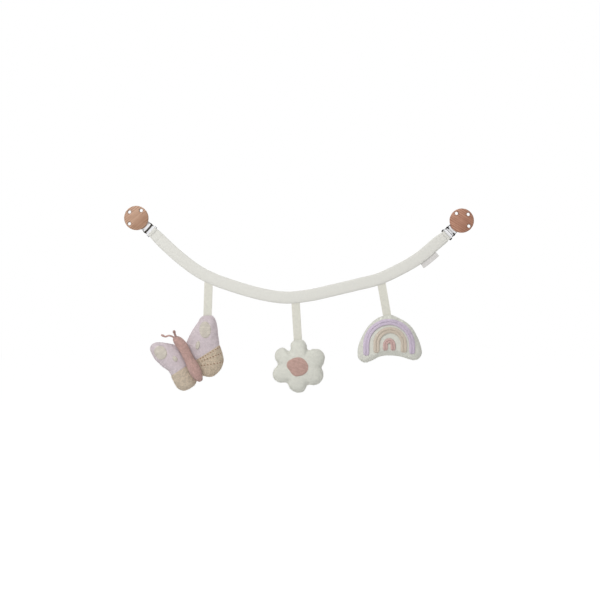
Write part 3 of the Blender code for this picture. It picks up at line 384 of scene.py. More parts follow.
def on_stage(name: str, data: bpy.types.ID) -> Thing:
    """A new object of the scene with the given mesh, lamp or camera."""
    thing = bpy.data.objects.new(name, data)
    bpy.context.scene.collection.objects.link(thing)
    return thing


def surface(
    name: str, rows: Sequence[Array], cloth: Sequence[Array], drawing: Optional[Drawing] = None, tube: bool = False
) -> Thing:
    """Build a piece as one net of quads.

    Args:
        name: its name.
        rows: the rows of the net, each one rows of three.
        cloth: their places on the cloth's map.
        drawing: where the piece stands, if not in the row frame.
        tube: whether each row is a closed ring, and the two ends are closed.

    Returns:
        The piece.
    """
    draft = Draft()
    numbers = draft.grid(np.array(rows), np.array(cloth), wrap=tube)
    for end in (0, -1) if tube else ():
        draft.cap(numbers[end], rows[end].mean(axis=0), (0.0, 0.0), cloth[end])
    return draft.build(name, drawing)


def apply_modifiers(thing: Thing) -> None:
    """Turn an object's modifiers into mesh.

    Args:
        thing: the object.
    """
    graph = bpy.context.evaluated_depsgraph_get()
    mesh = bpy.data.meshes.new_from_object(thing.evaluated_get(graph), depsgraph=graph)
    old = thing.data
    thing.modifiers.clear()
    thing.data = mesh
    bpy.data.meshes.remove(old)
    mesh.name = thing.name


def rows_of(items: Sequence, key: str) -> Array:
    """A value of each of a mesh's points, as rows of three."""
    flat = np.zeros(len(items) * 3, np.float32)
    items.foreach_get(key, flat)
    return flat.reshape(-1, 3).astype(float)


def coordinates(thing: Thing) -> Array:
    """A mesh object's points as rows of three."""
    return rows_of(thing.data.vertices, "co")


def set_coordinates(thing: Thing, points: Array) -> None:
    """Move a mesh object's points to the given rows of three."""
    thing.data.vertices.foreach_set("co", points.astype(np.float32).ravel())
    thing.data.update()


# Finishes


class Bench:
    """A material or a world in the making, with short names for the nodes that it needs."""

    def __init__(self, name: str, world: bool = False) -> None:
        """Start a Principled material or a plain world.

        Args:
            name: its name.
            world: whether it is a world.
        """
        self.made = (bpy.data.worlds if world else bpy.data.materials).new(name)
        self.made.use_nodes = True
        self.nodes = self.made.node_tree.nodes
        self.links = self.made.node_tree.links
        self.shader = self.nodes["Background" if world else "Principled BSDF"]

    def node(self, kind: str, inputs: dict, **settings: object) -> bpy.types.Node:
        """Add a node.

        Args:
            kind: its type's name in Blender, without the word ShaderNode.
            inputs: a value or a socket for each input, by name or number.
            settings: the node's own settings.

        Returns:
            The node.
        """
        made = self.nodes.new(f"ShaderNode{kind}")
        for key, value in settings.items():
            setattr(made, key, value)
        for key, value in inputs.items():
            self.feed(made.inputs[key], value)
        return made

    def feed(self, entry: Socket, value: object) -> None:
        """Give an input a value, or another node's socket."""
        if isinstance(value, Socket):
            self.links.new(value, entry)
        else:
            entry.default_value = value

    def math(self, operation: str, *values: object) -> Socket:
        """A sum of one to three values or sockets."""
        return self.node("Math", dict(enumerate(values)), operation=operation).outputs[0]

    def noise(self, where: Socket, size: float, detail: float = 2.0) -> Socket:
        """Noise from 0 to 1 whose patches are about one size apart."""
        return self.node("TexNoise", {"Vector": where, "Scale": 1 / size, "Detail": detail}).outputs[0]

    def eased(self, value: object, low: float, high: float, start: float = 0.0, end: float = 1.0) -> Socket:
        """A value's course from start at low to end at high, eased at both."""
        inputs = {"Value": value, "From Min": low, "From Max": high, "To Min": start, "To Max": end}
        return self.node("MapRange", inputs, interpolation_type="SMOOTHSTEP").outputs[0]

    def blend(self, share: object, low: object, high: object, way: str = "MIX") -> Socket:
        """A colour between two colours."""
        return self.node("Mix", {"Factor": share, 6: low, 7: high}, data_type="RGBA", blend_type=way).outputs[2]

    def relief(self, height: Socket, depth: float) -> None:
        """Let a height from 0 to 1 stand out by a depth in metres."""
        bump = self.node("Bump", {"Height": height, "Distance": depth, "Strength": 1.0})
        self.links.new(bump.outputs[0], self.shader.inputs["Normal"])

    def set(self, **values: object) -> None:
        """Set the shader's inputs; an underscore in a name stands for a space."""
        for key, value in values.items():
            self.feed(self.shader.inputs[key.replace("_", " ")], value)

    def cloth_place(self) -> tuple[Socket, Socket, Socket]:
        """The cloth's map, and its two coordinates: across the columns and along them."""
        where = self.node("UVMap", {}, uv_map=CLOTH_MAP).outputs[0]
        parts = self.node("SeparateXYZ", {0: where})
        return where, parts.outputs[0], parts.outputs[1]

    def own_place(self) -> Socket:
        """The piece's own coordinates in metres."""
        return self.node("TexCoord", {}).outputs["Object"]


@dataclass(frozen=True)
class Knit:
    """Knitted cloth: columns of V-shaped stitches in a slightly hairy yarn."""

    name: str
    colour: Colour
    # groove: the painted shade in the hollows between the stitches
    groove: Colour
    stitch_width: float = 1.5 * MM
    stitch_height: float = 1.15 * MM
    depth: float = 0.35 * MM
    mottle: float = 0.035  # how much the yarn's tone changes from stitch to stitch
    unevenness: float = 0.5
    slant: float = 0.62
    hole_rows: tuple[Pair, ...] = ()  # each row's place at the hinge, and its slope
    hole_pitch: float = 4.4 * MM
    hole_colour: Colour = (134, 96, 76)

    def material(self) -> Material:
        """Build the finish.

        Returns:
            The material.
        """
        bench = Bench(self.name)
        where, across, along = bench.cloth_place()
        drift = bench.noise(where, 9 * MM, 1.0)
        across = bench.math("MULTIPLY_ADD", drift, self.unevenness * self.stitch_width, across)
        along = bench.math("MULTIPLY_ADD", drift, -self.unevenness * self.stitch_height, along)
        column = bench.math("FRACT", bench.math("DIVIDE", across, self.stitch_width))
        leg = bench.math("MULTIPLY", bench.math("ABSOLUTE", bench.math("SUBTRACT", column, 0.5)), 2.0)
        row_place = bench.math("MULTIPLY_ADD", leg, self.slant, bench.math("DIVIDE", along, self.stitch_height))
        row = bench.math("FRACT", row_place)
        round_leg = self.hump(bench, leg)
        round_row = self.hump(bench, row)
        stitch = bench.math("MULTIPLY", round_leg, round_row)
        count = {0: self.whole(bench, across, self.stitch_width), 1: bench.math("FLOOR", row_place)}
        loop = bench.node("TexWhiteNoise", {"Vector": bench.node("CombineXYZ", count).outputs[0]}).outputs["Value"]
        fuzz = bench.noise(where, 0.22 * MM, 3.0)
        height = bench.math("MULTIPLY_ADD", fuzz, 0.3, bench.math("MULTIPLY", stitch, 0.8))
        # painted shade: the hollows between stitches take the groove colour
        tone = bench.blend(bench.eased(stitch, 0.0, 0.9), linear(self.groove), linear(self.colour))
        yarn = bench.eased(loop, 0.0, 1.0, 1 - 1.6 * self.mottle, 1 + 1.2 * self.mottle)
        tone = bench.blend(1.0, tone, yarn, "MULTIPLY")
        mottle = bench.eased(bench.noise(where, 1.1 * MM, 3.0), 0.3, 0.7, 1 - self.mottle, 1 + 0.7 * self.mottle)
        tone = bench.blend(1.0, tone, mottle, "MULTIPLY")
        if self.hole_rows:
            hole = self.holes(bench, across, along)
            # painted shade: the eyelets are painted dark for the shade inside the holes
            tone = bench.blend(hole, tone, linear(self.hole_colour))
            height = bench.math("MULTIPLY", height, bench.math("SUBTRACT", 1.0, hole))
        bench.relief(height, self.depth)
        bench.set(Base_Color=tone, Roughness=0.93, Sheen_Weight=0.12, Sheen_Roughness=0.6, Specular_IOR_Level=0.18)
        return bench.made

    def whole(self, bench: Bench, place: Socket, size: float) -> Socket:
        """The number of whole sizes in a place."""
        return bench.math("FLOOR", bench.math("DIVIDE", place, size))

    def hump(self, bench: Bench, share: Socket) -> Socket:
        """A round hump over a share from 0 to 1."""
        product = bench.math("MULTIPLY", share, bench.math("SUBTRACT", 1.0, share))
        return bench.math("POWER", bench.math("MULTIPLY", product, 4.0), 0.55)

    def holes(self, bench: Bench, across: Socket, along: Socket) -> Socket:
        """Rows of eyelets that are knitted into the cloth.

        Args:
            bench: the material in the making.
            across: the place across the columns.
            along: the place along the columns.

        Returns:
            1 in an eyelet and 0 beside it.
        """
        column = bench.math("FRACT", bench.math("DIVIDE", across, self.hole_pitch))
        side = bench.math("ABSOLUTE", bench.math("SUBTRACT", column, 0.5))
        in_column = bench.eased(side, 0.16, 0.22, 1.0, 0.0)
        total: object = 0.0
        for place, slope in self.hole_rows:
            line = bench.math("MULTIPLY_ADD", across, slope, place)
            away = bench.math("ABSOLUTE", bench.math("SUBTRACT", along, line))
            in_row = bench.eased(away, 0.7 * MM, 1.0 * MM, 1.0, 0.0)
            total = bench.math("MAXIMUM", total, in_row)
        return bench.math("MULTIPLY", in_column, total)


@dataclass(frozen=True)
class Tape:
    """Woven cotton tape with a fine twill line and firm edges."""

    name: str
    colour: Colour
    # groove: the painted shade in the hollows of the weave
    groove: Colour
    pitch: float = 0.75 * MM
    depth: float = 0.12 * MM

    def material(self) -> Material:
        """Build the finish.

        Returns:
            The material.
        """
        bench = Bench(self.name)
        where, across, along = bench.cloth_place()
        diagonal = bench.math("ADD", across, bench.math("MULTIPLY", along, 0.6))
        line = bench.math("SINE", bench.math("MULTIPLY", diagonal, math.tau / self.pitch))
        weft = bench.math("SINE", bench.math("MULTIPLY", along, math.tau / (self.pitch * 0.55)))
        weave = bench.math("MULTIPLY_ADD", line, 0.32, bench.math("MULTIPLY_ADD", weft, 0.18, 0.5))
        fibre = bench.noise(where, 0.2 * MM, 3.0)
        height = bench.math("MULTIPLY_ADD", fibre, 0.35, weave)
        # painted shade: the weave's hollows take the groove colour
        tone = bench.blend(bench.eased(weave, 0.1, 0.9), linear(self.groove), linear(self.colour))
        shade = bench.eased(bench.noise(where, 4 * MM, 2.0), 0.3, 0.7, 0.96, 1.03)
        tone = bench.blend(1.0, tone, shade, "MULTIPLY")
        bench.relief(height, self.depth)
        bench.set(Base_Color=tone, Roughness=0.9, Sheen_Weight=0.08, Specular_IOR_Level=0.2)
        return bench.made


@dataclass(frozen=True)
class Wood:
    """Oiled beech: long grain lines with short dark flecks between them, painted shade towards one side, and painted
    shade on the walls of its holes.
    """

    side: Side  # of the clip that it is on
    light: Colour
    dark: Colour
    grain_angle: float
    ring_angle: float  # the way towards the painted shade, the disc's side turned from the light
    seed: float = 0.0
    # the painted shade on the walls of the holes
    drilled: Colour = (98, 64, 44)

    def material(self) -> Material:
        """Build the finish.

        Returns:
            The material.
        """
        bench = Bench(f"{self.side.word}_beech")
        own = bench.own_place()
        turn = bench.node("VectorRotate", {"Vector": own, "Angle": self.grain_angle}, rotation_type="Y_AXIS")
        grain = bench.node("Mapping", {0: turn.outputs[0], 1: (self.seed, 0.0, self.seed), 3: (0.09, 0.6, 1.0)})
        stretched = grain.outputs[0]
        rings = bench.noise(stretched, 2.6 * MM, 2.0)
        waves = {"Vector": stretched, "Scale": 1 / (9 * MM), "Distortion": 3.4, "Detail": 3.0, "Detail Scale": 1.6}
        line = bench.node("TexWave", waves, bands_direction="Z").outputs[1]
        pores = bench.noise(stretched, 0.34 * MM, 3.0)
        fleck = bench.eased(pores, 0.6, 0.72)
        figure = bench.math("MULTIPLY_ADD", line, 0.45, bench.math("MULTIPLY", rings, 0.6))
        tone = bench.blend(bench.eased(figure, 0.2, 0.85), linear(self.dark), linear(self.light))
        tone = bench.blend(bench.math("MULTIPLY", fleck, 0.4), tone, linear(self.dark))
        # painted shade: the disc darkens towards one side, the side turned from the light
        middle = Drawing.at_pin(self.side).moved(-Clip.pin_to_disc, 0.0).origin
        way = Vector((math.cos(self.ring_angle), 0.0, math.sin(self.ring_angle)))
        away = bench.node("VectorMath", {0: own, 1: middle}, operation="SUBTRACT").outputs[0]
        aside = bench.node("VectorMath", {0: away, 1: way}, operation="DOT_PRODUCT").outputs["Value"]
        sway = bench.math("MULTIPLY_ADD", bench.noise(own, 12 * MM, 2.0), 14 * MM, aside)
        tone = bench.blend(bench.eased(sway, 5 * MM, 15 * MM, 0.0, 0.42), tone, linear(self.dark))
        # painted shade: the holes' walls take the dark colour
        in_hole = bench.node("Attribute", {}, attribute_name=HOLE_SHADE_MARK).outputs["Fac"]
        tone = bench.blend(in_hole, tone, linear(self.drilled))
        raised, sunk = bench.math("MULTIPLY", figure, 0.4), bench.math("MULTIPLY", fleck, 0.5)
        bench.relief(bench.math("SUBTRACT", raised, sunk), 0.08 * MM)
        bench.set(Base_Color=tone, Roughness=bench.eased(figure, 0.0, 1.0, 0.62, 0.48), Specular_IOR_Level=0.35)
        return bench.made


@dataclass(frozen=True)
class Steel:
    """Plated steel with faint brushing, bright on its faces, with painted shade round its bends and painted dark
    reflection stripes and ears.
    """

    side: Side  # of the clip that it is on
    colour: Colour
    shade: Colour  # the painted shade of its bends and of its painted dark reflection
    roughness: float
    bands: tuple[tuple[float, float, float, float], ...]  # the painted dark reflection stripes: from, to, how dark in the middle, and at the ends
    ear: float = 7.1 * MM  # from the middle line to the ears

    def material(self) -> Material:
        """Build the finish.

        Returns:
            The material.
        """
        bench = Bench(f"{self.side.word}_clip_steel")
        own = bench.own_place()
        stretched = bench.node("Mapping", {0: own, 3: (0.2, 1.0, 1.0)}).outputs[0]
        scratch = bench.noise(stretched, 0.25 * MM, 4.0)
        cloud = bench.noise(own, 5 * MM, 2.0)
        rough = bench.math("ADD", bench.eased(cloud, 0.3, 0.7, 0.0, 0.1), self.roughness)
        rough = bench.math("MULTIPLY_ADD", bench.eased(scratch, 0.6, 0.8), 0.12, rough)
        # painted shade: where the normal turns away from the front-to-back axis, the steel takes the shade colour
        facing = bench.node("SeparateXYZ", {0: bench.node("TexCoord", {}).outputs["Normal"]}).outputs[1]
        flat = bench.eased(bench.math("ABSOLUTE", facing), 0.3, 0.92)
        dull = linear(tuple(level - 14 for level in self.colour))
        tone = bench.blend(bench.eased(cloud, 0.3, 0.7), linear(self.colour), dull)
        tone = bench.blend(flat, linear(self.shade), tone)
        # painted reflection: dark stripes across the sheet and dark ears
        tone = bench.blend(self.reflections(bench, own), tone, linear(self.shade))
        bench.relief(bench.math("ADD", bench.math("MULTIPLY", scratch, 0.5), cloud), 0.012 * MM)
        bench.set(Base_Color=tone, Metallic=1.0, Roughness=rough)
        return bench.made

    def reflections(self, bench: Bench, own: Socket) -> Socket:
        """The painted reflection: dark stripes across the plated sheet, and its ears painted dark.

        Args:
            bench: the material in the making.
            own: the piece's own coordinates.

        Returns:
            1 in a band and 0 beside it.
        """
        drawing = Drawing.at_pin(self.side)
        away = bench.node("VectorMath", {0: own, 1: drawing.origin}, operation="SUBTRACT").outputs[0]
        along = bench.node("VectorMath", {0: away, 1: -drawing.right}, operation="DOT_PRODUCT").outputs["Value"]
        aside = bench.node("VectorMath", {0: away, 1: drawing.up}, operation="DOT_PRODUCT").outputs["Value"]
        aside = bench.math("ABSOLUTE", aside)
        wave = bench.math("MULTIPLY", bench.math("SINE", bench.math("MULTIPLY", aside, 700.0)), 0.12 * MM)
        along = bench.math("ADD", along, wave)
        on_ear = bench.eased(aside, self.ear - 0.2 * MM, self.ear + 0.1 * MM)
        total = bench.math("MULTIPLY", on_ear, bench.eased(along, -4.2 * MM, -3.4 * MM))
        for start, end, middle, outside in self.bands:
            depth = bench.eased(aside, 3.8 * MM, 5.2 * MM, middle, outside)
            apart = bench.math("ABSOLUTE", bench.math("SUBTRACT", along, (start + end) / 2))
            half = (end - start) / 2
            band = bench.math("MULTIPLY", depth, bench.eased(apart, half - 0.2 * MM, half + 0.2 * MM, 1.0, 0.0))
            total = bench.math("MAXIMUM", total, band)
        return total


@dataclass(frozen=True)
class Moulded:
    """Moulded plastic with a fine matt grain."""

    name: str
    colour: Colour

    def material(self) -> Material:
        """Build the finish.

        Returns:
            The material.
        """
        bench = Bench(self.name)
        own = bench.own_place()
        grain = bench.noise(own, 0.3 * MM, 3.0)
        cloud = bench.eased(bench.noise(own, 4 * MM, 2.0), 0.3, 0.7, 0.95, 1.03)
        bench.relief(grain, 0.02 * MM)
        bench.set(Base_Color=bench.blend(1.0, linear(self.colour), cloud, "MULTIPLY"))
        bench.set(Roughness=bench.eased(grain, 0.2, 0.8, 0.42, 0.58))
        return bench.made


@dataclass(frozen=True)
class Fibre:
    """Loose fibre: stuffing, felt or spun thread."""

    name: str
    colour: Colour
    strand: float = 0.4 * MM
    depth: float = 0.25 * MM
    stretch: float = 0.35

    def material(self) -> Material:
        """Build the finish.

        Returns:
            The material.
        """
        bench = Bench(self.name)
        own = bench.own_place()
        stretched = bench.node("Mapping", {0: own, 3: (self.stretch, 1.0, 1.0)}).outputs[0]
        strand = bench.noise(stretched, self.strand, 4.0)
        cloud = bench.noise(own, 3 * MM, 3.0)
        shade = bench.eased(bench.math("ADD", strand, cloud), 0.7, 1.3, 0.82, 1.04)
        bench.relief(bench.math("ADD", strand, cloud), self.depth)
        bench.set(Base_Color=bench.blend(1.0, linear(self.colour), shade, "MULTIPLY"), Roughness=0.95, Sheen_Weight=0.1)
        return bench.made


class Finishes:
    """Every finish of the toy, made once."""

    def __init__(self) -> None:
        """Build the materials."""
        jersey = Knit("strap_fine_jersey", (212, 211, 205), (205, 204, 197), 0.9 * MM, 0.7 * MM, 0.05 * MM, 0.01, 0.2)
        self.strap = jersey.material()
        self.felt = Fibre("strap_felt", (226, 224, 217)).material()
        self.tape = Tape("ribbon_cotton_tape", (220, 219, 209), (200, 198, 187)).material()
        self.tag = Tape("bare_satin_tag", (210, 208, 206), (196, 193, 190), 0.4 * MM, 0.04 * MM).material()
        self.white = self.knit("toy_white_knit", (227, 227, 218), (170, 170, 159), 2.5, 1.9, 0.4, 0.025)
        self.stuffing = Fibre("white_stuffing", (240, 240, 238), 0.8 * MM, 0.6 * MM, 0.7).material()
        self.lilac = self.knit("wing_lilac_knit", (228, 216, 219), (152, 137, 144), 2.1, 1.7, 0.5, 0.05)
        self.beige = self.knit("wing_beige_knit", (225, 210, 190), (130, 110, 86), 2.1, 1.7, 0.55, 0.09)
        rows = ((-1.7 * MM, -0.03), (-3.2 * MM, -0.2), (-7.1 * MM, -0.43))
        self.eyelet = self.knit("wing_beige_eyelet_knit", (224, 207, 184), (130, 110, 86), 2.1, 1.7, 0.55, 0.09, rows)
        self.cream = self.knit("patch_cream_knit", (225, 218, 207), (142, 132, 115), 3.4, 2.2, 0.6, 0.055)
        self.pink = self.knit("body_pink_knit", (213, 177, 168), (118, 85, 79), 2.0, 1.6, 0.5, 0.075)
        self.flower_pink = self.knit("flower_middle_knit", (213, 179, 168), (122, 89, 81), 2.7, 2.1, 0.6, 0.045)
        self.lilac_cord = self.knit("bow_lilac_knit", (215, 202, 217), (170, 156, 178), 1.7, 1.4)
        self.beige_cord = self.knit("bow_beige_knit", (216, 204, 189), (176, 162, 146), 1.7, 1.4)
        self.pink_cord = self.knit("bow_pink_knit", (214, 184, 178), (176, 143, 137), 1.7, 1.4)
        self.white_thread = Fibre("white_thread", (228, 227, 220), 0.15 * MM, 0.05 * MM).material()
        self.brown_thread = Fibre("brown_thread", (142, 96, 66), 0.15 * MM, 0.05 * MM).material()
        left, right = Side.LEFT, Side.RIGHT
        self.wood = {
            left: Wood(left, (196, 163, 140), (140, 102, 78), math.radians(38), math.radians(-35), 0.02).material(),
            right: Wood(right, (184, 139, 117), (134, 90, 70), math.radians(-32), math.radians(-12), 0.31).material(),
        }
        # painted dark reflection stripes on each clip's steel
        left_bands = (
            (-10.8 * MM, -8.2 * MM, 0.0, 0.7),
            (-6.5 * MM, -6.0 * MM, 0.3, 0.8),
            (-2.4 * MM, 0.1 * MM, 0.95, 1.0),
            (2.8 * MM, 3.8 * MM, 0.0, 0.7),
        )
        right_bands = (
            (-10.8 * MM, -5.4 * MM, 0.55, 1.0),
            (-0.9 * MM, 1.9 * MM, 0.35, 1.0),
            (4.6 * MM, 5.2 * MM, 0.1, 0.8),
        )
        self.steel = {
            left: Steel(left, (240, 240, 242), (56, 52, 46), 0.1, left_bands).material(),
            right: Steel(right, (240, 240, 242), (44, 43, 42), 0.1, right_bands).material(),
        }
        self.jaw = Moulded("jaw_plastic", (236, 235, 230)).material()

    def knit(
        self, name: str, colour: Colour, groove: Colour, width: float, height: float,
        depth: float = 0.35, mottle: float = 0.035, hole_rows: tuple[Pair, ...] = (),
    ) -> Material:
        """A toy's knit, with its stitches' sizes in millimetres."""
        return Knit(name, colour, groove, width * MM, height * MM, depth * MM, mottle, hole_rows=hole_rows).material()


# Pieces and how they are set on the frame


@dataclass
class Assembly:
    """A group of pieces that is built and dressed together."""

    finishes: Finishes

    def dress(
        self, piece: Thing, finish: Material, body: str, nodes: Sequence[str] = (), slot: str = "", fill: float = 0.0
    ) -> None:
        """Give a piece its finish and set it on a body.

        Args:
            piece: the piece.
            finish: its material.
            body: the body that it moves with.
            nodes: the solids that it stands for.
            slot: not used.
            fill: not used.
        """
        piece.data.materials.clear()
        piece.data.materials.append(finish)
        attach(piece, body)
        if nodes:
            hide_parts(*nodes)
        log.info("%s: %d faces, on %s", piece.name, len(piece.data.polygons), body)

    def repaint(self, node: str, finish: Material, edge: float) -> None:
        """Give a solid of the frame a finish and softly broken edges.

        Args:
            node: the solid's name.
            finish: its material.
            edge: the width of its broken edges, or 0.
        """
        solid = frame["nodes"][node]
        for place in solid.material_slots:
            place.material = finish
        if edge:
            bevel = solid.modifiers.new("broken_edges", "BEVEL")
            bevel.width = edge
            bevel.segments = 2
            bevel.limit_method = "ANGLE"
            bevel.angle_limit = math.radians(50)
            bevel.harden_normals = False
        log.info("%s: shown as packed, with the finish %s", node, finish.name)

    def stuff(self, cover: "Stuffed", drawing: Drawing, body: str, seed: float) -> None:
        """Fill a cover with a wad of stuffing in its own shape.

        Args:
            cover: the cover's shape.
            drawing: where it stands.
            body: the body that it moves with.
            seed: moves the wad's pattern of lumps.
        """
        wad = cover.inside(COVER_WALL).closed_mesh(f"{body}_stuffing")
        push(wad, 0.45 * MM * (ripple(coordinates(wad), 5 * MM, seed) - 0.6))
        set_up(wad, drawing)
        self.dress(wad, self.finishes.stuffing, body, [f"{body}_filling"], "toy_filling", 1.0)

    def part_faces(self, whole: Thing, toy: str, drawing: Drawing) -> None:
        """Part a cushion's cover into its front and back, and dress them.

        Args:
            whole: the cover, in its drawing's coordinates. It is used up.
            toy: the toy's name.
            drawing: where it stands.
        """
        for face in Face:
            panel = cut(twin(whole, f"{toy}_{face.word}_knit"), (0.0, 0.0, 0.0), (0.0, 0.0, float(face.value)))
            set_up(panel, drawing)
            self.dress(panel, self.finishes.white, toy, [f"{toy}_{face.word}_panel"], "toy_white_jersey", 0.8)
        bpy.data.objects.remove(whole)


def stitches(name: str, drawing: Drawing, places: Array, ways: Array, length: float, radius: float) -> Thing:
    """Build a row of short thread stitches.

    Args:
        name: the row's name.
        drawing: where the row stands.
        places: the middle of each stitch, as rows of three.
        ways: the direction of each stitch, as rows of three.
        length: a stitch's length.
        radius: the thread's radius.

    Returns:
        The row as one object.
    """
    draft = Draft()
    turns = np.linspace(0.0, math.tau, 7)[:-1]
    shares = np.linspace(-1.0, 1.0, 7)
    for place, way in zip(places, ways):
        way = way / np.linalg.norm(way)
        side = np.cross(way, [0.0, 0.0, 1.0])
        side = side / max(np.linalg.norm(side), 1e-6)
        lift = np.cross(side, way)
        rows = []
        for share in shares:
            thick = radius * math.sqrt(max(1.0 - share**4, 0.05))
            centre = place + way * share * length / 2 - lift * (share**2) * radius
            rows.append([centre + thick * (side * math.cos(t) + lift * math.sin(t)) for t in turns])
        net = np.array(rows)
        blank = np.zeros((len(shares), len(turns) + 1, 2))
        numbers = draft.grid(net, blank, wrap=True)
        for end in (0, -1):
            draft.cap(numbers[end], net[end].mean(axis=0), (0.0, 0.0), blank[end])
    return draft.build(name, drawing)


def cord(name: str, drawing: Drawing, line: Array, radii: Array, strands: int, twist: float) -> Thing:
    """Build a round cord of twisted strands with closed ends.

    Args:
        name: the cord's name.
        drawing: where it stands.
        line: its centre line, as rows of three.
        radii: its radius at each point of the line.
        strands: how many strands are twisted together.
        twist: the length in which a strand goes once round.

    Returns:
        The cord.
    """
    along = lengths_along(line)
    ways = directions(line)
    side = np.array([0.0, 0.0, 1.0])
    turns = circle(strands * 8)
    rows, cloth = [], []
    for point, way, radius, length in zip(line, ways, radii, along):
        side = side - way * (side @ way)
        side /= np.linalg.norm(side)
        other = np.cross(way, side)
        lobes = 0.82 + 0.18 * np.abs(np.cos(strands / 2 * (turns - math.tau * length / twist)))
        reach = (radius * lobes)[:, None]
        rows.append(point + reach * (np.cos(turns)[:, None] * side + np.sin(turns)[:, None] * other))
        cloth.append(columns(radius * np.append(turns, math.tau), length))
    draft = Draft()
    numbers = draft.grid(np.array(rows), np.array(cloth), wrap=True)
    for end, reach in ((0, -0.3), (-1, 0.5)):
        draft.cap(numbers[end], line[end] + ways[end] * radii[end] * reach, cloth[end][0], cloth[end])
    return draft.build(name, drawing)


# Stuffed shapes


@dataclass
class Stuffed:
    """A stuffed shape that swells from a flat outline, drawn anticlockwise."""

    outline: Array
    middle: Array
    swell: float
    hinge_reach: float = 0.0
    plump_power: float = 3.4
    plump_root: float = 0.52
    rings: int = 22

    def rise(self, corners: Array, share: float) -> Array:
        """Height over the seam's plane, part of the way from the middle to the outline.

        Args:
            corners: the outline's places.
            share: how far along the way from the middle to them.

        Returns:
            One height for each corner.
        """
        flat = np.zeros(len(corners))
        if self.hinge_reach:
            flat = np.clip(1 - np.abs(corners[:, 0]) / self.hinge_reach, 0.0, 1.0)
        power = self.plump_power + (2.0 - self.plump_power) * flat
        root = self.plump_root + (1.0 - self.plump_root) * flat
        return self.swell * np.maximum(1 - share**power, 0.0) ** root

    def inside(self, wall: float) -> "Stuffed":
        """The same shape seen from inside a wall of cloth."""
        ways = np.roll(self.outline, -1, axis=0) - np.roll(self.outline, 1, axis=0)
        ways /= np.linalg.norm(ways, axis=1)[:, None]
        moved = self.outline + wall * columns(-ways[:, 1], ways[:, 0])
        return Stuffed(moved, self.middle, self.swell - wall, self.hinge_reach, rings=self.rings)

    def closed_mesh(self, name: str) -> Thing:
        """Both faces, welded along the seam, in the drawing's own coordinates.

        Args:
            name: the object's name.

        Returns:
            The object.
        """
        draft = Draft()
        blank = np.zeros((self.rings, len(self.outline) + 1, 2))
        for side in (1, -1):
            rows = []
            for share in np.sin(np.linspace(0.12, math.pi / 2, self.rings)):
                places = self.middle + (self.outline - self.middle) * share
                rows.append(np.column_stack([places, side * self.rise(self.outline, share)]))
            numbers = draft.grid(np.array(rows), blank, wrap=True)
            draft.cap(numbers[0], np.array([*self.middle, side * self.swell]), (0.0, 0.0), blank[0])
        thing = draft.build(name)
        weld(thing)
        return thing


def weld(thing: Thing) -> None:
    """Join an object's points that lie in one place, and turn its faces outwards."""
    with opened(thing.data) as shape:
        bmesh.ops.remove_doubles(shape, verts=shape.verts, dist=0.01 * MM)
        bmesh.ops.recalc_face_normals(shape, faces=shape.faces)


@dataclass(frozen=True)
class Plumping:
    """How a stuffed shape's cloth is pushed out from inside, by a cloth simulation."""

    grain: float = 1.3 * MM  # of the net that is simulated
    pressure: float = 3.0
    slack: float = 0.035  # how much more cloth there is than the shape needs
    most: float = 1.3 * MM  # how far a point may move
    frames: int = 14
    scale: float = 10.0  # the shape is simulated larger, because cloth settings suit furniture

    def apply(self, thing: Thing) -> None:
        """Make an even net of a closed shape, simulate it, and smooth it once.

        Args:
            thing: the closed shape, in its drawing's coordinates.
        """
        remesh = thing.modifiers.new("even_net", "REMESH")
        remesh.mode = "VOXEL"
        remesh.voxel_size = self.grain
        apply_modifiers(thing)
        self.simulate(thing)
        finer = thing.modifiers.new("finer_net", "SUBSURF")
        finer.levels = 1
        finer.render_levels = 1
        apply_modifiers(thing)
        thing.data.shade_smooth()

    def simulate(self, thing: Thing) -> None:
        """Run the cloth and keep its result, with every point's move capped.

        Args:
            thing: the net, whose points near the seam stay where they are.
        """
        start = coordinates(thing)
        heights = np.abs(start[:, 2])
        seam = [int(i) for i in np.flatnonzero(heights < self.grain)]
        pins = thing.vertex_groups.new(name="seam")
        pins.add(seam, 1.0, "REPLACE")
        set_coordinates(thing, start * self.scale)
        cloth = thing.modifiers.new("cloth", "CLOTH")
        settings = {
            "quality": 5,
            "mass": 0.2,
            "tension_stiffness": 12,
            "compression_stiffness": 12,
            "shear_stiffness": 6,
            "bending_stiffness": 0.6,
            "use_pressure": True,
            "uniform_pressure_force": self.pressure,
            "shrink_min": -self.slack,
            "vertex_group_mass": "seam",
        }
        for key, value in settings.items():
            setattr(cloth.settings, key, value)
        cloth.settings.effector_weights.gravity = 0.0
        cloth.collision_settings.use_collision = False
        cloth.point_cache.frame_start = 1
        cloth.point_cache.frame_end = self.frames
        scene = bpy.context.scene
        for number in range(1, self.frames + 1):
            scene.frame_set(number)
        graph = bpy.context.evaluated_depsgraph_get()
        mesh = thing.evaluated_get(graph).to_mesh()
        found = rows_of(mesh.vertices, "co")
        thing.evaluated_get(graph).to_mesh_clear()
        thing.modifiers.clear()
        thing.vertex_groups.clear()
        scene.frame_set(1)
        move = found / self.scale - start
        size = np.linalg.norm(move, axis=1)
        move *= np.minimum(1.0, self.most / np.maximum(size, 1e-9))[:, None]
        set_coordinates(thing, start + move)


def normals_of(thing: Thing) -> Array:
    """A mesh object's point normals as rows of three."""
    return rows_of(thing.data.vertex_normals, "vector")


def push(thing: Thing, amounts: Array) -> None:
    """Move each point of a mesh along its normal by its own amount."""
    set_coordinates(thing, coordinates(thing) + normals_of(thing) * amounts[:, None])


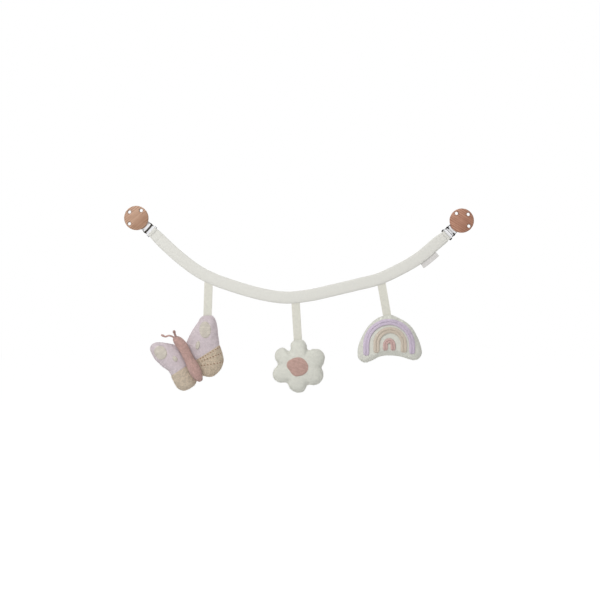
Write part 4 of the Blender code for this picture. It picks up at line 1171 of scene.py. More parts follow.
def nearest_on(outline: Array, places: Array) -> tuple[Array, Array]:
    """Find where places are nearest to a closed outline.

    Args:
        outline: the outline's corners.
        places: the places, as rows of two.

    Returns:
        The distance of each, and the length along the outline there.
    """
    fine = evenly(outline, 400, True)
    along = lengths_along(fine)
    distance = np.empty(len(places))
    length = np.empty(len(places))
    for start in range(0, len(places), 4000):
        part = places[start : start + 4000]
        apart = np.linalg.norm(part[:, None, :] - fine[None, :, :], axis=2)
        found = apart.argmin(axis=1)
        distance[start : start + 4000] = apart[np.arange(len(part)), found]
        length[start : start + 4000] = along[found]
    return distance, length


def cut(thing: Thing, place: Sequence[float], normal: Sequence[float], clear: bool = True) -> Thing:
    """Cut a mesh along a plane.

    Args:
        thing: the mesh object.
        place: a point of the plane.
        normal: the plane's normal.
        clear: whether what lies behind the plane is taken away.

    Returns:
        The same object.
    """
    with opened(thing.data) as shape:
        everything = [*shape.verts, *shape.edges, *shape.faces]
        bmesh.ops.bisect_plane(
            shape, geom=everything, dist=0.02 * MM, plane_co=place, plane_no=normal, clear_inner=clear
        )
    return thing


def twin(thing: Thing, name: str) -> Thing:
    """A copy of a mesh object with its own mesh."""
    copied = on_stage(name, thing.data.copy())
    copied.data.name = name
    return copied


def set_up(thing: Thing, drawing: Drawing) -> None:
    """Take a mesh from its drawing's coordinates to the row frame."""
    set_coordinates(thing, drawing.world(coordinates(thing)))


class Ground:
    """The front of a stuffed shape, for what is laid on it."""

    def __init__(self, thing: Thing) -> None:
        """Remember a surface.

        Args:
            thing: the shape, in its drawing's coordinates.
        """
        shape = bmesh.new()
        shape.from_mesh(thing.data)
        self.tree = BVHTree.FromBMesh(shape)
        shape.free()

    def heights(self, places: Array) -> Array:
        """The surface's height over each place of the drawing."""
        down = Vector((0.0, 0.0, -1.0))
        hits = [self.tree.ray_cast(Vector((x, y, 0.1)), down)[0] for x, y in places]
        return np.array([hit.z if hit else 0.0 for hit in hits])


@dataclass(frozen=True)
class Sewing:
    """How a stuffed cover shows that it is sewn and filled."""

    pucker: float = 0.2 * MM  # height of the small folds along the seam
    pucker_pitch: float = 4.2 * MM
    pucker_reach: float = 4.0 * MM
    groove: float = 0.55 * MM  # how far the seam is drawn in
    groove_width: float = 0.9 * MM
    groove_reach: float = 3 * MM
    lump: float = 0.3 * MM
    lump_size: float = 15 * MM
    seed: float = 1.0

    def apply(self, thing: Thing, outline: Array) -> None:
        """Pucker a plumped shape along its seam, draw the seam in, and leave the filling's lumps.

        Args:
            thing: the plumped shape, in its drawing's coordinates.
            outline: the line of its seam.
        """
        cut(thing, (0.0, 0.0, 0.0), (0.0, 0.0, 1.0), clear=False)
        points = coordinates(thing)
        distance, length = nearest_on(outline, points[:, :2])
        waver = ripple(columns(length, np.sign(points[:, 2]) * 5 * MM), 11 * MM, self.seed)
        wave = np.sin(math.tau * length / self.pucker_pitch + 3.0 * waver)
        near = np.exp(-((distance / self.pucker_reach) ** 2)) * (0.5 + 0.5 * waver)
        amounts = self.pucker * wave * near + self.lump * ripple(points, self.lump_size, self.seed)
        at_seam = np.exp(-((points[:, 2] / self.groove_width) ** 2)) * np.exp(-((distance / self.groove_reach) ** 2))
        amounts -= self.groove * at_seam
        push(thing, amounts)


def lay_cloth(thing: Thing, swell: float, start: float = 0.0, slope: float = 0.0) -> None:
    """Lay cloth over a plumped shape without stretching it at the edge.

    Args:
        thing: the shape, in its drawing's coordinates, before it is creased or sewn.
        swell: the shape's height over its seam.
        start: the height of the drawing at which the cloth's map starts.
        slope: how far the cloth is turned, anticlockwise.
    """
    points = coordinates(thing)
    round_edge = ROUND_EDGE * np.maximum(swell - np.abs(points[:, 2]), 0.0)
    flat = points[:, :2] + normals_of(thing)[:, :2] * round_edge[:, None] - (0.0, start)
    places = turned(flat, -slope).astype(np.float32)
    layers = thing.data.uv_layers
    layer = layers.get(CLOTH_MAP) or layers.new(name=CLOTH_MAP)
    corners = np.zeros(len(thing.data.loops), np.int32)
    thing.data.loops.foreach_get("vertex_index", corners)
    layer.data.foreach_set("uv", places[corners].ravel())


@dataclass(frozen=True)
class KnittedPatch:
    """A thin knitted piece that is sewn flat onto a cushion."""

    thickness: float = 1.3 * MM
    rings: int = 12
    edge_power: float = 7.0
    sunk: float = 0.25 * MM  # of its rim, into the cushion

    def build(self, name: str, outline: Array, middle: Array, ground: Ground, drawing: Drawing, tilt: float) -> Thing:
        """Lay the patch on its ground.

        Args:
            name: the piece's name.
            outline: its outline in the drawing.
            middle: its middle.
            ground: what it lies on.
            drawing: the ground's drawing.
            tilt: the direction of the knitting.

        Returns:
            The piece.
        """
        draft = Draft()
        rows, cloth = [], []
        base = ground.heights(np.array([middle]))[0]
        for share in np.linspace(0.0, 1.0, self.rings + 1)[1:]:
            places = middle + (outline - middle) * share
            lift = self.thickness * max(1.0 - share**self.edge_power, 0.0) ** 0.5
            rim = self.sunk if share == 1.0 else 0.0
            rows.append(np.column_stack([places, ground.heights(places) + lift - rim]))
            flat = turned(places - middle, -tilt)
            cloth.append(np.vstack([flat, flat[:1]]))
        numbers = draft.grid(np.array(rows), np.array(cloth), wrap=True)
        tip = np.array([*middle, base + self.thickness])
        draft.cap(numbers[0], tip, (0.0, 0.0), cloth[0])
        return draft.build(name, drawing)


# The strap


STRAP_SHARES: tuple[Pair, ...] = (
    (0.0, 0.0), (0.0394, -0.0387), (0.0943, -0.0879), (0.1493, -0.1293), (0.2046, -0.1588), (0.2850, -0.1873),
    (0.3661, -0.2100), (0.4479, -0.2226), (0.5294, -0.2162), (0.6108, -0.1988), (0.6922, -0.1795), (0.7737, -0.1581),
    (0.8555, -0.1194), (0.9118, -0.0848), (0.9644, -0.0404), (1.0, -0.0112),
)


@dataclass
class Strap(Assembly):
    """The jersey tube, its core, its two end tabs and the bare tag."""

    BODY = "strap"

    span: float = 0.4366
    left_slope: float = math.radians(-41)
    right_slope: float = math.radians(45)
    width: float = 18 * MM
    thickness: float = 5.2 * MM
    start: float = 3.3 * MM  # from a loop bar to the cloth
    taper: float = 16 * MM
    end_share: float = 0.9
    end_thickness_share: float = 0.86
    core_width: float = 12 * MM
    core_thickness: float = 2.1 * MM
    core_start: float = 13 * MM
    tab_width: float = 15 * MM
    tab_radius: float = 1.95 * MM  # of the cloth's middle round the bar
    tab_cloth: float = 1.0 * MM
    tag_share: float = 0.927
    tag_length: float = 27.5 * MM
    tag_drop: float = 7.5 * MM
    stations: int = 420
    stitch_line: float = 13.5 * MM  # of an end's stitches, from its loop bar
    ribbon_shares: tuple[float, ...] = (0.1998, 0.4856, 0.7728)  # of the span, where the ribbons hang

    def __post_init__(self) -> None:
        """Run the strap's route."""
        points = [((x - 0.5) * self.span, y * self.span) for x, y in STRAP_SHARES]
        self.route = Route(points, self.left_slope, self.right_slope)
        self.drawing = Drawing.at_hinge("left_clip_swivel").moved(self.span / 2, 0.0)

    def build(self) -> None:
        """Build every piece of the strap."""
        for face in Face:
            cloth = self.cover(face)
            self.dress(cloth, self.finishes.strap, self.BODY, [f"strap_{face.word}_layer"], "strap_jersey", 0.5)
        self.dress(self.core(), self.finishes.felt, self.BODY, ["strap_core"], "core_felt", 0.4)
        for side in Side:
            self.build_end(side)
        self.build_tag()

    def cover(self, face: Face) -> Thing:
        """One face of the tube, with its drawn-in seam, gathers and fold.

        Args:
            face: which face.

        Returns:
            The piece.
        """
        lengths = np.linspace(self.start, self.route.length - self.start, self.stations)
        places, across = self.route.at(lengths)
        near_end = np.minimum(lengths, self.route.length - lengths) - self.start
        narrow = np.clip(1 - near_end / self.taper, 0.0, 1.0) ** 2
        half = self.width / 2 * (1 - (1 - self.end_share) * narrow)
        thick = self.thickness / 2 * (1 - (1 - self.end_thickness_share) * narrow)
        angles = np.linspace(math.pi, 0.0, 27)
        wide = blunt(np.cos(angles), 0.62)
        high = np.sin(angles) ** 0.6
        high[[0, -1]] = 0.0
        lower = ripple(columns(lengths, 0.0), 17 * MM, 3.0)
        upper = ripple(columns(lengths, 0.0), 14 * MM, 8.0)
        rows, cloth = [], []
        for i, length in enumerate(lengths):
            v = half[i] * wide
            v = v + 0.1 * MM * np.where(wide < 0, lower[i], upper[i]) * np.abs(wide) ** 3
            z = thick[i] * high + self.wrinkles(length, v, high, face)
            middle = places[i] + across[i] * v[:, None]
            rows.append(np.column_stack([middle, face.value * z]))
            cloth.append(columns(angles / math.pi * -(self.width + 2.4 * MM), length))
        return surface(f"strap_{face.word}_cloth", rows, cloth, self.drawing)

    def wrinkles(self, length: float, across: Array, high: Array, face: Face) -> Array:
        """How far the cloth stands off its plain shape at one station.

        Args:
            length: the station's length along the strap.
            across: places across the strap there.
            high: the share of the full height at each.
            face: which face of the tube.

        Returns:
            One height for each place.
        """
        points = columns(length, across, face.value * MM)
        height = 0.05 * MM * ripple(points * [1.0, 1.6, 1.0], 9 * MM, 5.0 * face.value)
        right = math.exp(-(((self.route.length - length) / (21 * MM)) ** 2))
        height += 0.3 * MM * right * np.cos(math.tau * across / (3.3 * MM) + 0.8 * math.sin(length * 260))
        past = length - self.stitch_line
        height += 0.08 * MM * (1 - math.tanh(past / (0.6 * MM))) - 0.34 * MM * math.exp(-((past / (0.75 * MM)) ** 2))
        for share in self.ribbon_shares:
            place = self.route.length_at((share - 0.5) * self.span)
            pull = math.exp(-(((length - place) / (7 * MM)) ** 2))
            height -= 0.5 * MM * pull * np.exp(-(((across + self.width / 2) / (2.6 * MM)) ** 2))
        return height * high**0.5

    def core(self) -> Thing:
        """The felt strip inside the tube."""
        lengths = np.linspace(self.core_start, self.route.length - self.core_start, 220)
        places, across = self.route.at(lengths)
        turns = circle(28)
        wide = self.core_width / 2 * blunt(np.cos(turns), 0.25)
        high = self.core_thickness / 2 * blunt(np.sin(turns), 0.5)
        rows, cloth = [], []
        for place, way, length in zip(places, across, lengths):
            uneven = 0.12 * MM * ripple(columns(wide, high + length), 4 * MM)
            rows.append(np.column_stack([place + way * (wide + uneven)[:, None], high]))
            cloth.append(columns(np.append(turns, math.tau) * self.core_width / math.pi, length))
        return surface("strap_felt_core", rows, cloth, self.drawing, tube=True)

    def build_end(self, side: Side) -> None:
        """The cloth folded round one loop bar, and the thread that holds it.

        Args:
            side: which end of the strap.
        """
        drawing = Drawing.along_axis(f"{side.word}_clip_swivel")
        turns = np.linspace(math.radians(62), math.tau - math.radians(62), 30)
        fold = self.tab_radius * columns(np.cos(turns), np.sin(turns))
        lead = np.array([[11.0, 0.55], [8.5, 0.56], [6.2, 0.62], [4.6, 0.8], [3.1, 1.15], [1.8, 1.6]]) * MM
        path = np.vstack([lead, fold, (lead * [1, -1])[::-1]])
        path = evenly(smooth_line(np.vstack([path[:1], path, path[-1:]]), 4, False), 90, False)
        along = lengths_along(path)
        across = np.linspace(-self.tab_width / 2, self.tab_width / 2, 41)
        rows, cloth = [], []
        for (x, z), length in zip(path, along):
            free = 0.4 + 0.6 * min(abs(x) / (4 * MM), 1.0)
            gather = 0.2 * MM * np.cos(math.tau * across / (3.1 * MM) + side.value) * free
            squeeze = 1.0 - 0.02 * math.cos(math.tau * length / along[-1])
            rows.append(columns(x, across * squeeze, z + gather * np.sign(z + 1e-9)))
            cloth.append(columns(across, length))
        tab = surface(f"{side.word}_tab_cloth", rows, cloth, drawing)
        thicken(tab, self.tab_cloth)
        self.dress(tab, self.finishes.strap, self.BODY, [f"{side.word}_end_tab"], "strap_jersey")
        length = float(along[-1])

        across = np.linspace(-0.40, 0.40, 7) * self.width * self.end_share
        places = columns(self.stitch_line, across, self.thickness / 2 - 0.12 * MM)
        ways = np.tile([0.0, 1.0, 0.0], (len(places), 1))
        thread = stitches(f"{side.word}_end_stitches", drawing, places, ways, 1.7 * MM, 0.16 * MM)
        self.dress(thread, self.finishes.white_thread, self.BODY)

    def build_tag(self) -> None:
        """The bare tag: one strip folded double, with its ends in the seam."""
        middle = self.route.length_at((self.tag_share - 0.5) * self.span)
        lengths = middle + np.linspace(-0.5, 0.5, 45) * self.tag_length
        places, across = self.route.at(lengths)
        top = -(self.width / 2 - 0.9 * MM)
        low = -(self.width / 2 + self.tag_drop)
        turns = np.linspace(0.0, math.pi, 9)
        leaf = columns(np.linspace(top, low + 0.3 * MM, 14), np.linspace(0.16, 0.3, 14) * MM)
        bend = columns(low + 0.3 * MM - 0.3 * MM * np.sin(turns), 0.3 * MM * np.cos(turns))
        path = np.vstack([leaf, bend[1:-1], (leaf * [1, -1])[::-1]])
        along = lengths_along(path)
        rows, cloth = [], []
        for place, way, length in zip(places, across, lengths):
            free = np.clip((top - path[:, 0]) / self.tag_drop, 0.0, 1.0)
            curl = 0.5 * MM * free * math.sin((length - middle) / self.tag_length * 4.2 + 0.6)
            rows.append(np.column_stack([place + way * path[:, :1], path[:, 1] + curl]))
            cloth.append(columns(length, along))
        tag = surface("bare_side_tag", rows, cloth, self.drawing)
        thicken(tag, 0.22 * MM)
        self.dress(tag, self.finishes.tag, self.BODY, ["side_tag"], "bare_tag")


def thicken(thing: Thing, thickness: float) -> None:
    """Give a thin sheet its thickness, half to each side."""
    modifier = thing.modifiers.new("thickness", "SOLIDIFY")
    modifier.thickness = thickness
    modifier.offset = 0.0
    apply_modifiers(thing)
    weld(thing)
    thing.data.shade_smooth()


# The clips


@dataclass
class Clip(Assembly):
    """One clip: the plated base and lever, the toothed jaw, and the wood disc."""

    side: Side
    pin_to_disc: float = 22.3 * MM
    diameter: float = 36 * MM
    back: float = 2.4 * MM
    thickness: float = 8 * MM
    edge: float = 1.9 * MM
    hole_diameter: float = 5 * MM
    hole_from_centre: float = 13.3 * MM
    hole_spread: float = math.radians(82)
    hole_edge: float = 0.75 * MM
    dome: float = 1.7 * MM  # how far the front falls from its middle to its rim
    dome_power: float = 2.6
    rivet_hole: float = 1.8 * MM
    rivet_depth: float = 3.8 * MM
    sides: int = 128

    def hole_places(self) -> list[Pair]:
        """The middles of the through holes in the clip's drawing."""
        reach, spread = self.hole_from_centre, self.hole_spread
        return [(-self.pin_to_disc - reach * math.cos(t), reach * math.sin(t)) for t in (-spread, 0.0, spread)]

    def build(self) -> None:
        """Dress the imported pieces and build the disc."""
        word = self.side.word
        for piece, edge in (("base_plate", 0.2), ("lever_plate", 0.2), ("hinge_pin", 0.25), ("disc_rivet", 0.15)):
            self.repaint(f"{word}_{piece}", self.finishes.steel[self.side], edge * MM)
        self.repaint(f"{word}_jaw_pad", self.finishes.jaw, 0.1 * MM)
        self.dress(self.disc(), self.finishes.wood[self.side], f"{word}_lever", [f"{word}_wood_disc"], f"{word}_beech")

    def disc(self) -> Thing:
        """The turned disc with three through holes and the rivet's hole in its back."""
        turns = np.linspace(0.0, math.pi / 2, 8)
        flat = self.diameter / 2 - self.edge
        front = self.back + self.thickness
        rim = front - self.dome
        crown = [(flat + self.edge * math.sin(t), rim - self.edge * (1 - math.cos(t))) for t in turns]
        heel = [(flat + self.edge * math.cos(t), self.back + self.edge * (1 - math.sin(t))) for t in turns]
        profile = [(flat * share, front - self.dome * share**self.dome_power) for share in np.linspace(0.1, 0.94, 12)]
        profile += crown + heel
        profile += [(flat * share, self.back) for share in (0.8, 0.5, 0.2)]
        disc = self.turned_piece(f"{self.side.word}_disc_wood", profile, -self.pin_to_disc, 0.0, self.sides)
        bore, edge = self.hole_diameter / 2, self.hole_edge
        face = front - self.dome * (self.hole_from_centre / flat) ** self.dome_power
        spool = [(bore + edge + 2 * MM, face + 2 * MM), (bore + edge, face), (bore + edge * 0.3, face - edge * 0.45)]
        spool += [(bore, face - edge), (bore, self.back + edge), (bore + edge * 0.3, self.back + edge * 0.45)]
        spool += [(bore + edge, self.back), (bore + edge + MM, self.back - MM)]
        hole = [(self.rivet_hole, self.back + self.rivet_depth), (self.rivet_hole, self.back - MM)]
        tools = [self.carve(disc, spool, x, y) for x, y in self.hole_places()]
        tools.append(self.carve(disc, hole, -self.pin_to_disc, 0.0))
        apply_modifiers(disc)
        for tool in tools:
            bpy.data.objects.remove(tool)
        set_up(disc, Drawing.at_pin(self.side))
        weld(disc)
        self.mark_holes(disc)
        disc.data.shade_smooth()
        disc.data.set_sharp_from_angle(angle=math.radians(40))
        return disc

    def mark_holes(self, disc: Thing) -> None:
        """Mark the walls of a disc's holes, which get painted shade."""
        drawing, out = Drawing.at_pin(self.side), np.array(TOWARDS_VIEWER)
        inside = np.zeros(len(disc.data.vertices), bool)
        for x, y in self.hole_places():
            away = coordinates(disc) - np.array(drawing.moved(x, y).origin, float)
            away = away - np.outer(away @ out, out)
            inside |= np.linalg.norm(away, axis=1) < self.hole_diameter / 2 + 0.35 * self.hole_edge
        marks = disc.data.attributes.new(HOLE_SHADE_MARK, "FLOAT", "POINT")
        marks.data.foreach_set("value", inside.astype(np.float32))

    def turned_piece(self, name: str, profile: Sequence[Pair], x: float, y: float, sides: int) -> Thing:
        """Turn a profile on the lathe.

        Args:
            name: the object's name.
            profile: radius and height from the top down.
            x: the axis's place in the drawing.
            y: the same, upwards.
            sides: how many sides stand for a circle.

        Returns:
            The object, in its drawing's coordinates.
        """
        turns = circle(sides)
        rows = [columns(x + r * np.cos(turns), y + r * np.sin(turns), z) for r, z in profile]
        return surface(name, rows, np.zeros((len(profile), sides + 1, 2)), tube=True)

    def carve(self, piece: Thing, profile: Sequence[Pair], x: float, y: float) -> Thing:
        """Have a turned shape drilled out of a piece.

        Args:
            piece: the piece.
            profile: radius and height from the top down.
            x: the hole's place in the drawing.
            y: the same, upwards.

        Returns:
            The shape, to be removed when the piece's modifiers are applied.
        """
        tool = self.turned_piece(f"{piece.name}_drill_{len(piece.modifiers)}", profile, x, y, 48)
        modifier = piece.modifiers.new("drill", "BOOLEAN")
        modifier.operation = "DIFFERENCE"
        modifier.solver = "EXACT"
        modifier.object = tool
        return tool


# The ribbons


@dataclass
class Ribbon(Assembly):
    """One ribbon between the strap's lower edge and a toy's top seam."""

    toy: str
    seed: float
    width: float = 12.5 * MM
    thickness: float = 1.15 * MM
    hang_gap: float = 0.9 * MM  # from a seam to the line that the ribbon folds on
    into_strap: float = 1.5 * MM
    into_toy: float = 0.9 * MM
    bend: float = 3.5 * MM  # of the tape below the strap

    def build(self) -> None:
        """Build the tape."""
        name = f"{self.toy}_ribbon"
        hinge, toy = joint_named(f"{name}_swing"), joint_named(f"{self.toy}_swing")
        depth = Vector(hinge["pos_m"]).y
        top, foot, strap_way = (np.array([v[0], v[2]]) for v in (hinge["pos_m"], toy["pos_m"], hinge["axis"]))
        length = float(np.linalg.norm(foot - top))
        down = (foot - top) / length
        slant = abs(strap_way[0] * -down[1] + strap_way[1] * down[0])
        first, last = self.hang_gap + self.into_strap, self.hang_gap + self.into_toy
        turns = circle(48)
        wide = blunt(np.cos(turns), 0.16)
        high = blunt(np.sin(turns), 0.42)
        selvedge = 1 + 0.22 * np.exp(-(((1 - np.abs(wide)) / 0.07) ** 2))
        around = np.append(wide, wide[:1]) * self.width / 2
        at_top = strap_way * (self.width / 2 / slant)  # half the ribbon's width, along the strap
        at_foot = np.array([self.width / 2, 0.0])
        rows, cloth = [], []
        for share in np.linspace(-first / length, 1 + last / length, 70):
            level = min(max(share, 0.0), 1.0)
            half_way = at_top * (1 - level) + at_foot * level
            bow = 0.35 * MM * math.sin(math.pi * level) * ripple(np.array([[share, self.seed]]), 0.7, 2.0)[0]
            edge = 1 + 0.012 * ripple(np.array([[share * length, 0.0]]), 6 * MM, self.seed * 9)[0]
            plane = top + down * length * share + half_way * (wide * edge)[:, None]
            z = self.thickness / 2 * high * selvedge + bow * (1 - wide**2) + 0.05 * MM * np.sin(wide * 5 + share * 9)
            rows.append(columns(plane[:, 0], depth - z, plane[:, 1]))
            cloth.append(columns(around, share * length))
        tape = surface(f"{name}_tape", rows, cloth, tube=True)
        tape.data.materials.append(self.finishes.tape)
        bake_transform(tape)
        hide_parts(name)
        log.info("%s: %d faces, bends from strap to %s", tape.name, len(tape.data.polygons), name)


# The butterfly


@dataclass(frozen=True)
class Oval:
    """An egg-shaped patch: its middle as shares of the wing's reach and height, and its size."""

    middle: Pair
    half_width: float
    half_height: float
    tilt: float

    def outline(self, centre: Array, count: int = 72) -> Array:
        """The patch's outline round a place of the drawing."""
        turns = circle(count)
        corners = columns(self.half_width * np.cos(turns), self.half_height * np.sin(turns))
        return centre + turned(corners, self.tilt)


@dataclass(frozen=True)
class WingShape:
    """One wing: its size, its outline from the hinge's foot round to its top, and its patches."""

    side: Side
    reach: float
    height: float
    shares: tuple[Pair, ...]
    big: Oval
    small: Oval
    from_hinge: float = 1.2 * MM
    swell: float = 9.2 * MM
    hinge_reach: float = 14 * MM
    middle: Pair = (0.46, -0.06)
    join_share: float = -0.088
    join_slope: float = math.radians(5.5)

    def place(self, share: Pair) -> Array:
        """A place of the drawing, from shares of the reach and height."""
        return np.array([self.side.value * (self.from_hinge + share[0] * self.reach), share[1] * self.height])

    def outline(self) -> Array:
        """The seam's line, anticlockwise."""
        points = np.array([self.place(share) for share in self.shares])[:: self.side.value]
        line = evenly(smooth_line(points, 12, True), 200, True)
        way = self.side.value
        line[:, 0] = way * np.maximum(way * line[:, 0], self.from_hinge)
        return line


RIGHT_WING = WingShape(
    Side.RIGHT,
    59 * MM,
    85.9 * MM,
    (
        (0.0, -0.310), (0.093, -0.388), (0.279, -0.457), (0.445, -0.448), (0.595, -0.397), (0.721, -0.302),
        (0.775, -0.190), (0.800, -0.103), (0.809, -0.040), (0.842, 0.040), (0.905, 0.164), (0.970, 0.284),
        (1.003, 0.388), (0.988, 0.468), (0.895, 0.512), (0.785, 0.540), (0.690, 0.533), (0.595, 0.493),
        (0.432, 0.431), (0.281, 0.364), (0.123, 0.284), (0.0, 0.207),
    ),
    Oval((0.669, 0.315), 8.8 * MM, 12.5 * MM, math.radians(-24)),
    Oval((0.326, 0.134), 3.2 * MM, 6.6 * MM, math.radians(-39)),
)
LEFT_WING = WingShape(
    Side.LEFT,
    45.5 * MM,
    83 * MM,
    (
        (0.0, -0.330), (0.080, -0.420), (0.210, -0.468), (0.420, -0.484), (0.610, -0.468), (0.745, -0.395),
        (0.775, -0.300), (0.775, -0.170), (0.760, -0.050), (0.895, 0.105), (0.985, 0.265), (1.005, 0.385),
        (0.975, 0.470), (0.880, 0.518), (0.745, 0.525), (0.615, 0.500), (0.430, 0.432), (0.230, 0.350),
        (0.100, 0.300), (0.0, 0.220),
    ),
    Oval((0.715, 0.323), 9.5 * MM, 10.9 * MM, math.radians(6)),
    Oval((0.380, 0.109), 3.2 * MM, 4.7 * MM, math.radians(8)),
)


@dataclass
class Wing(Assembly):
    """One wing: a lilac and a beige cloth over one filling, with two cream patches."""

    shape: WingShape
    drawing: Drawing  # the butterfly's, whose y runs along the hinge
    ease: float = 0.6 * MM  # that the seam and its net draw in
    join_depth: float = 0.5 * MM
    join_width: float = 1.1 * MM

    @property
    def body(self) -> str:
        """The body that the wing's pieces move with."""
        return f"{self.shape.side.word}_wing"

    def build(self) -> None:
        """Build every piece of the wing."""
        shape = self.shape
        outline = shape.outline()
        middle = shape.place(shape.middle)
        stuffed = Stuffed(outline, middle, shape.swell, shape.hinge_reach)
        whole = stuffed.inside(-self.ease).closed_mesh(f"{self.body}_net")
        Plumping().apply(whole)
        lay_cloth(whole, shape.swell, shape.join_share * shape.height, shape.join_slope)
        self.draw_in_join(whole)
        Sewing(seed=4.0 + shape.side.value).apply(whole, outline)
        ground = Ground(whole)
        for level in Level:
            self.build_cover(whole, level)
        bpy.data.objects.remove(whole)
        self.stuff(stuffed, self.drawing, self.body, 7.0)
        for size, oval in (("big", shape.big), ("small", shape.small)):
            centre = shape.place(oval.middle)
            name = f"{self.body}_{size}_patch_knit"
            patch = KnittedPatch().build(name, oval.outline(centre), centre, ground, self.drawing, oval.tilt)
            self.dress(patch, self.finishes.cream, self.body, [f"{self.body}_{size}_patch"], "patch_cream", 0.3)

    def draw_in_join(self, whole: Thing) -> None:
        """Sink the cloth a little along the join of the two cloths."""
        shape, points = self.shape, coordinates(whole)
        away = points[:, 1] - shape.join_share * shape.height
        above = away * math.cos(shape.join_slope) - points[:, 0] * math.sin(shape.join_slope)
        push(whole, -self.join_depth * np.exp(-((above / self.join_width) ** 2)))

    def build_cover(self, whole: Thing, level: Level) -> None:
        """Cut one cloth out of the whole wing.

        Args:
            whole: the whole wing's cover.
            level: which cloth.
        """
        shape, slope = self.shape, self.shape.join_slope
        cover = twin(whole, f"{self.body}_{level.word}_knit")
        place = (0.0, shape.join_share * shape.height, 0.0)
        cut(cover, place, (-level.value * math.sin(slope), level.value * math.cos(slope), 0.0))
        set_up(cover, self.drawing)
        lower = self.finishes.eyelet if shape.side is Side.RIGHT else self.finishes.beige
        finish = self.finishes.lilac if level is Level.UPPER else lower
        slot = "wing_lilac" if level is Level.UPPER else "knit_beige"
        self.dress(cover, finish, self.body, [f"{self.body}_{level.word}_cover"], slot, 0.8)


BODY_SHARES: tuple[Triple, ...] = (
    (0.0, 0.16, 0.06), (0.02, 0.42, 0.05), (0.072, 0.68, 0.02), (0.15, 0.88, 0.0),
    (0.25, 1.0, 0.0), (0.36, 0.97, 0.0), (0.46, 0.84, 0.0), (0.57, 0.87, 0.0),
    (0.69, 0.86, 0.0), (0.79, 0.92, -0.08), (0.87, 0.87, -0.20), (0.94, 0.74, -0.32),
    (0.982, 0.50, -0.42), (1.0, 0.18, -0.48),
)
LONG_ANTENNA: tuple[Triple, ...] = (
    (0.0, 0.0, 0.0), (-0.13, 0.15, 0.02), (-0.31, 0.31, 0.05), (-0.49, 0.35, 0.08),
    (-0.65, 0.36, 0.08), (-0.77, 0.43, 0.06), (-0.84, 0.52, 0.04),
)
SHORT_ANTENNA: tuple[Triple, ...] = (
    (0.0, 0.0, 0.0), (0.03, 0.20, 0.14), (0.08, 0.37, 0.37), (0.13, 0.50, 0.60),
    (0.17, 0.60, 0.83),
)


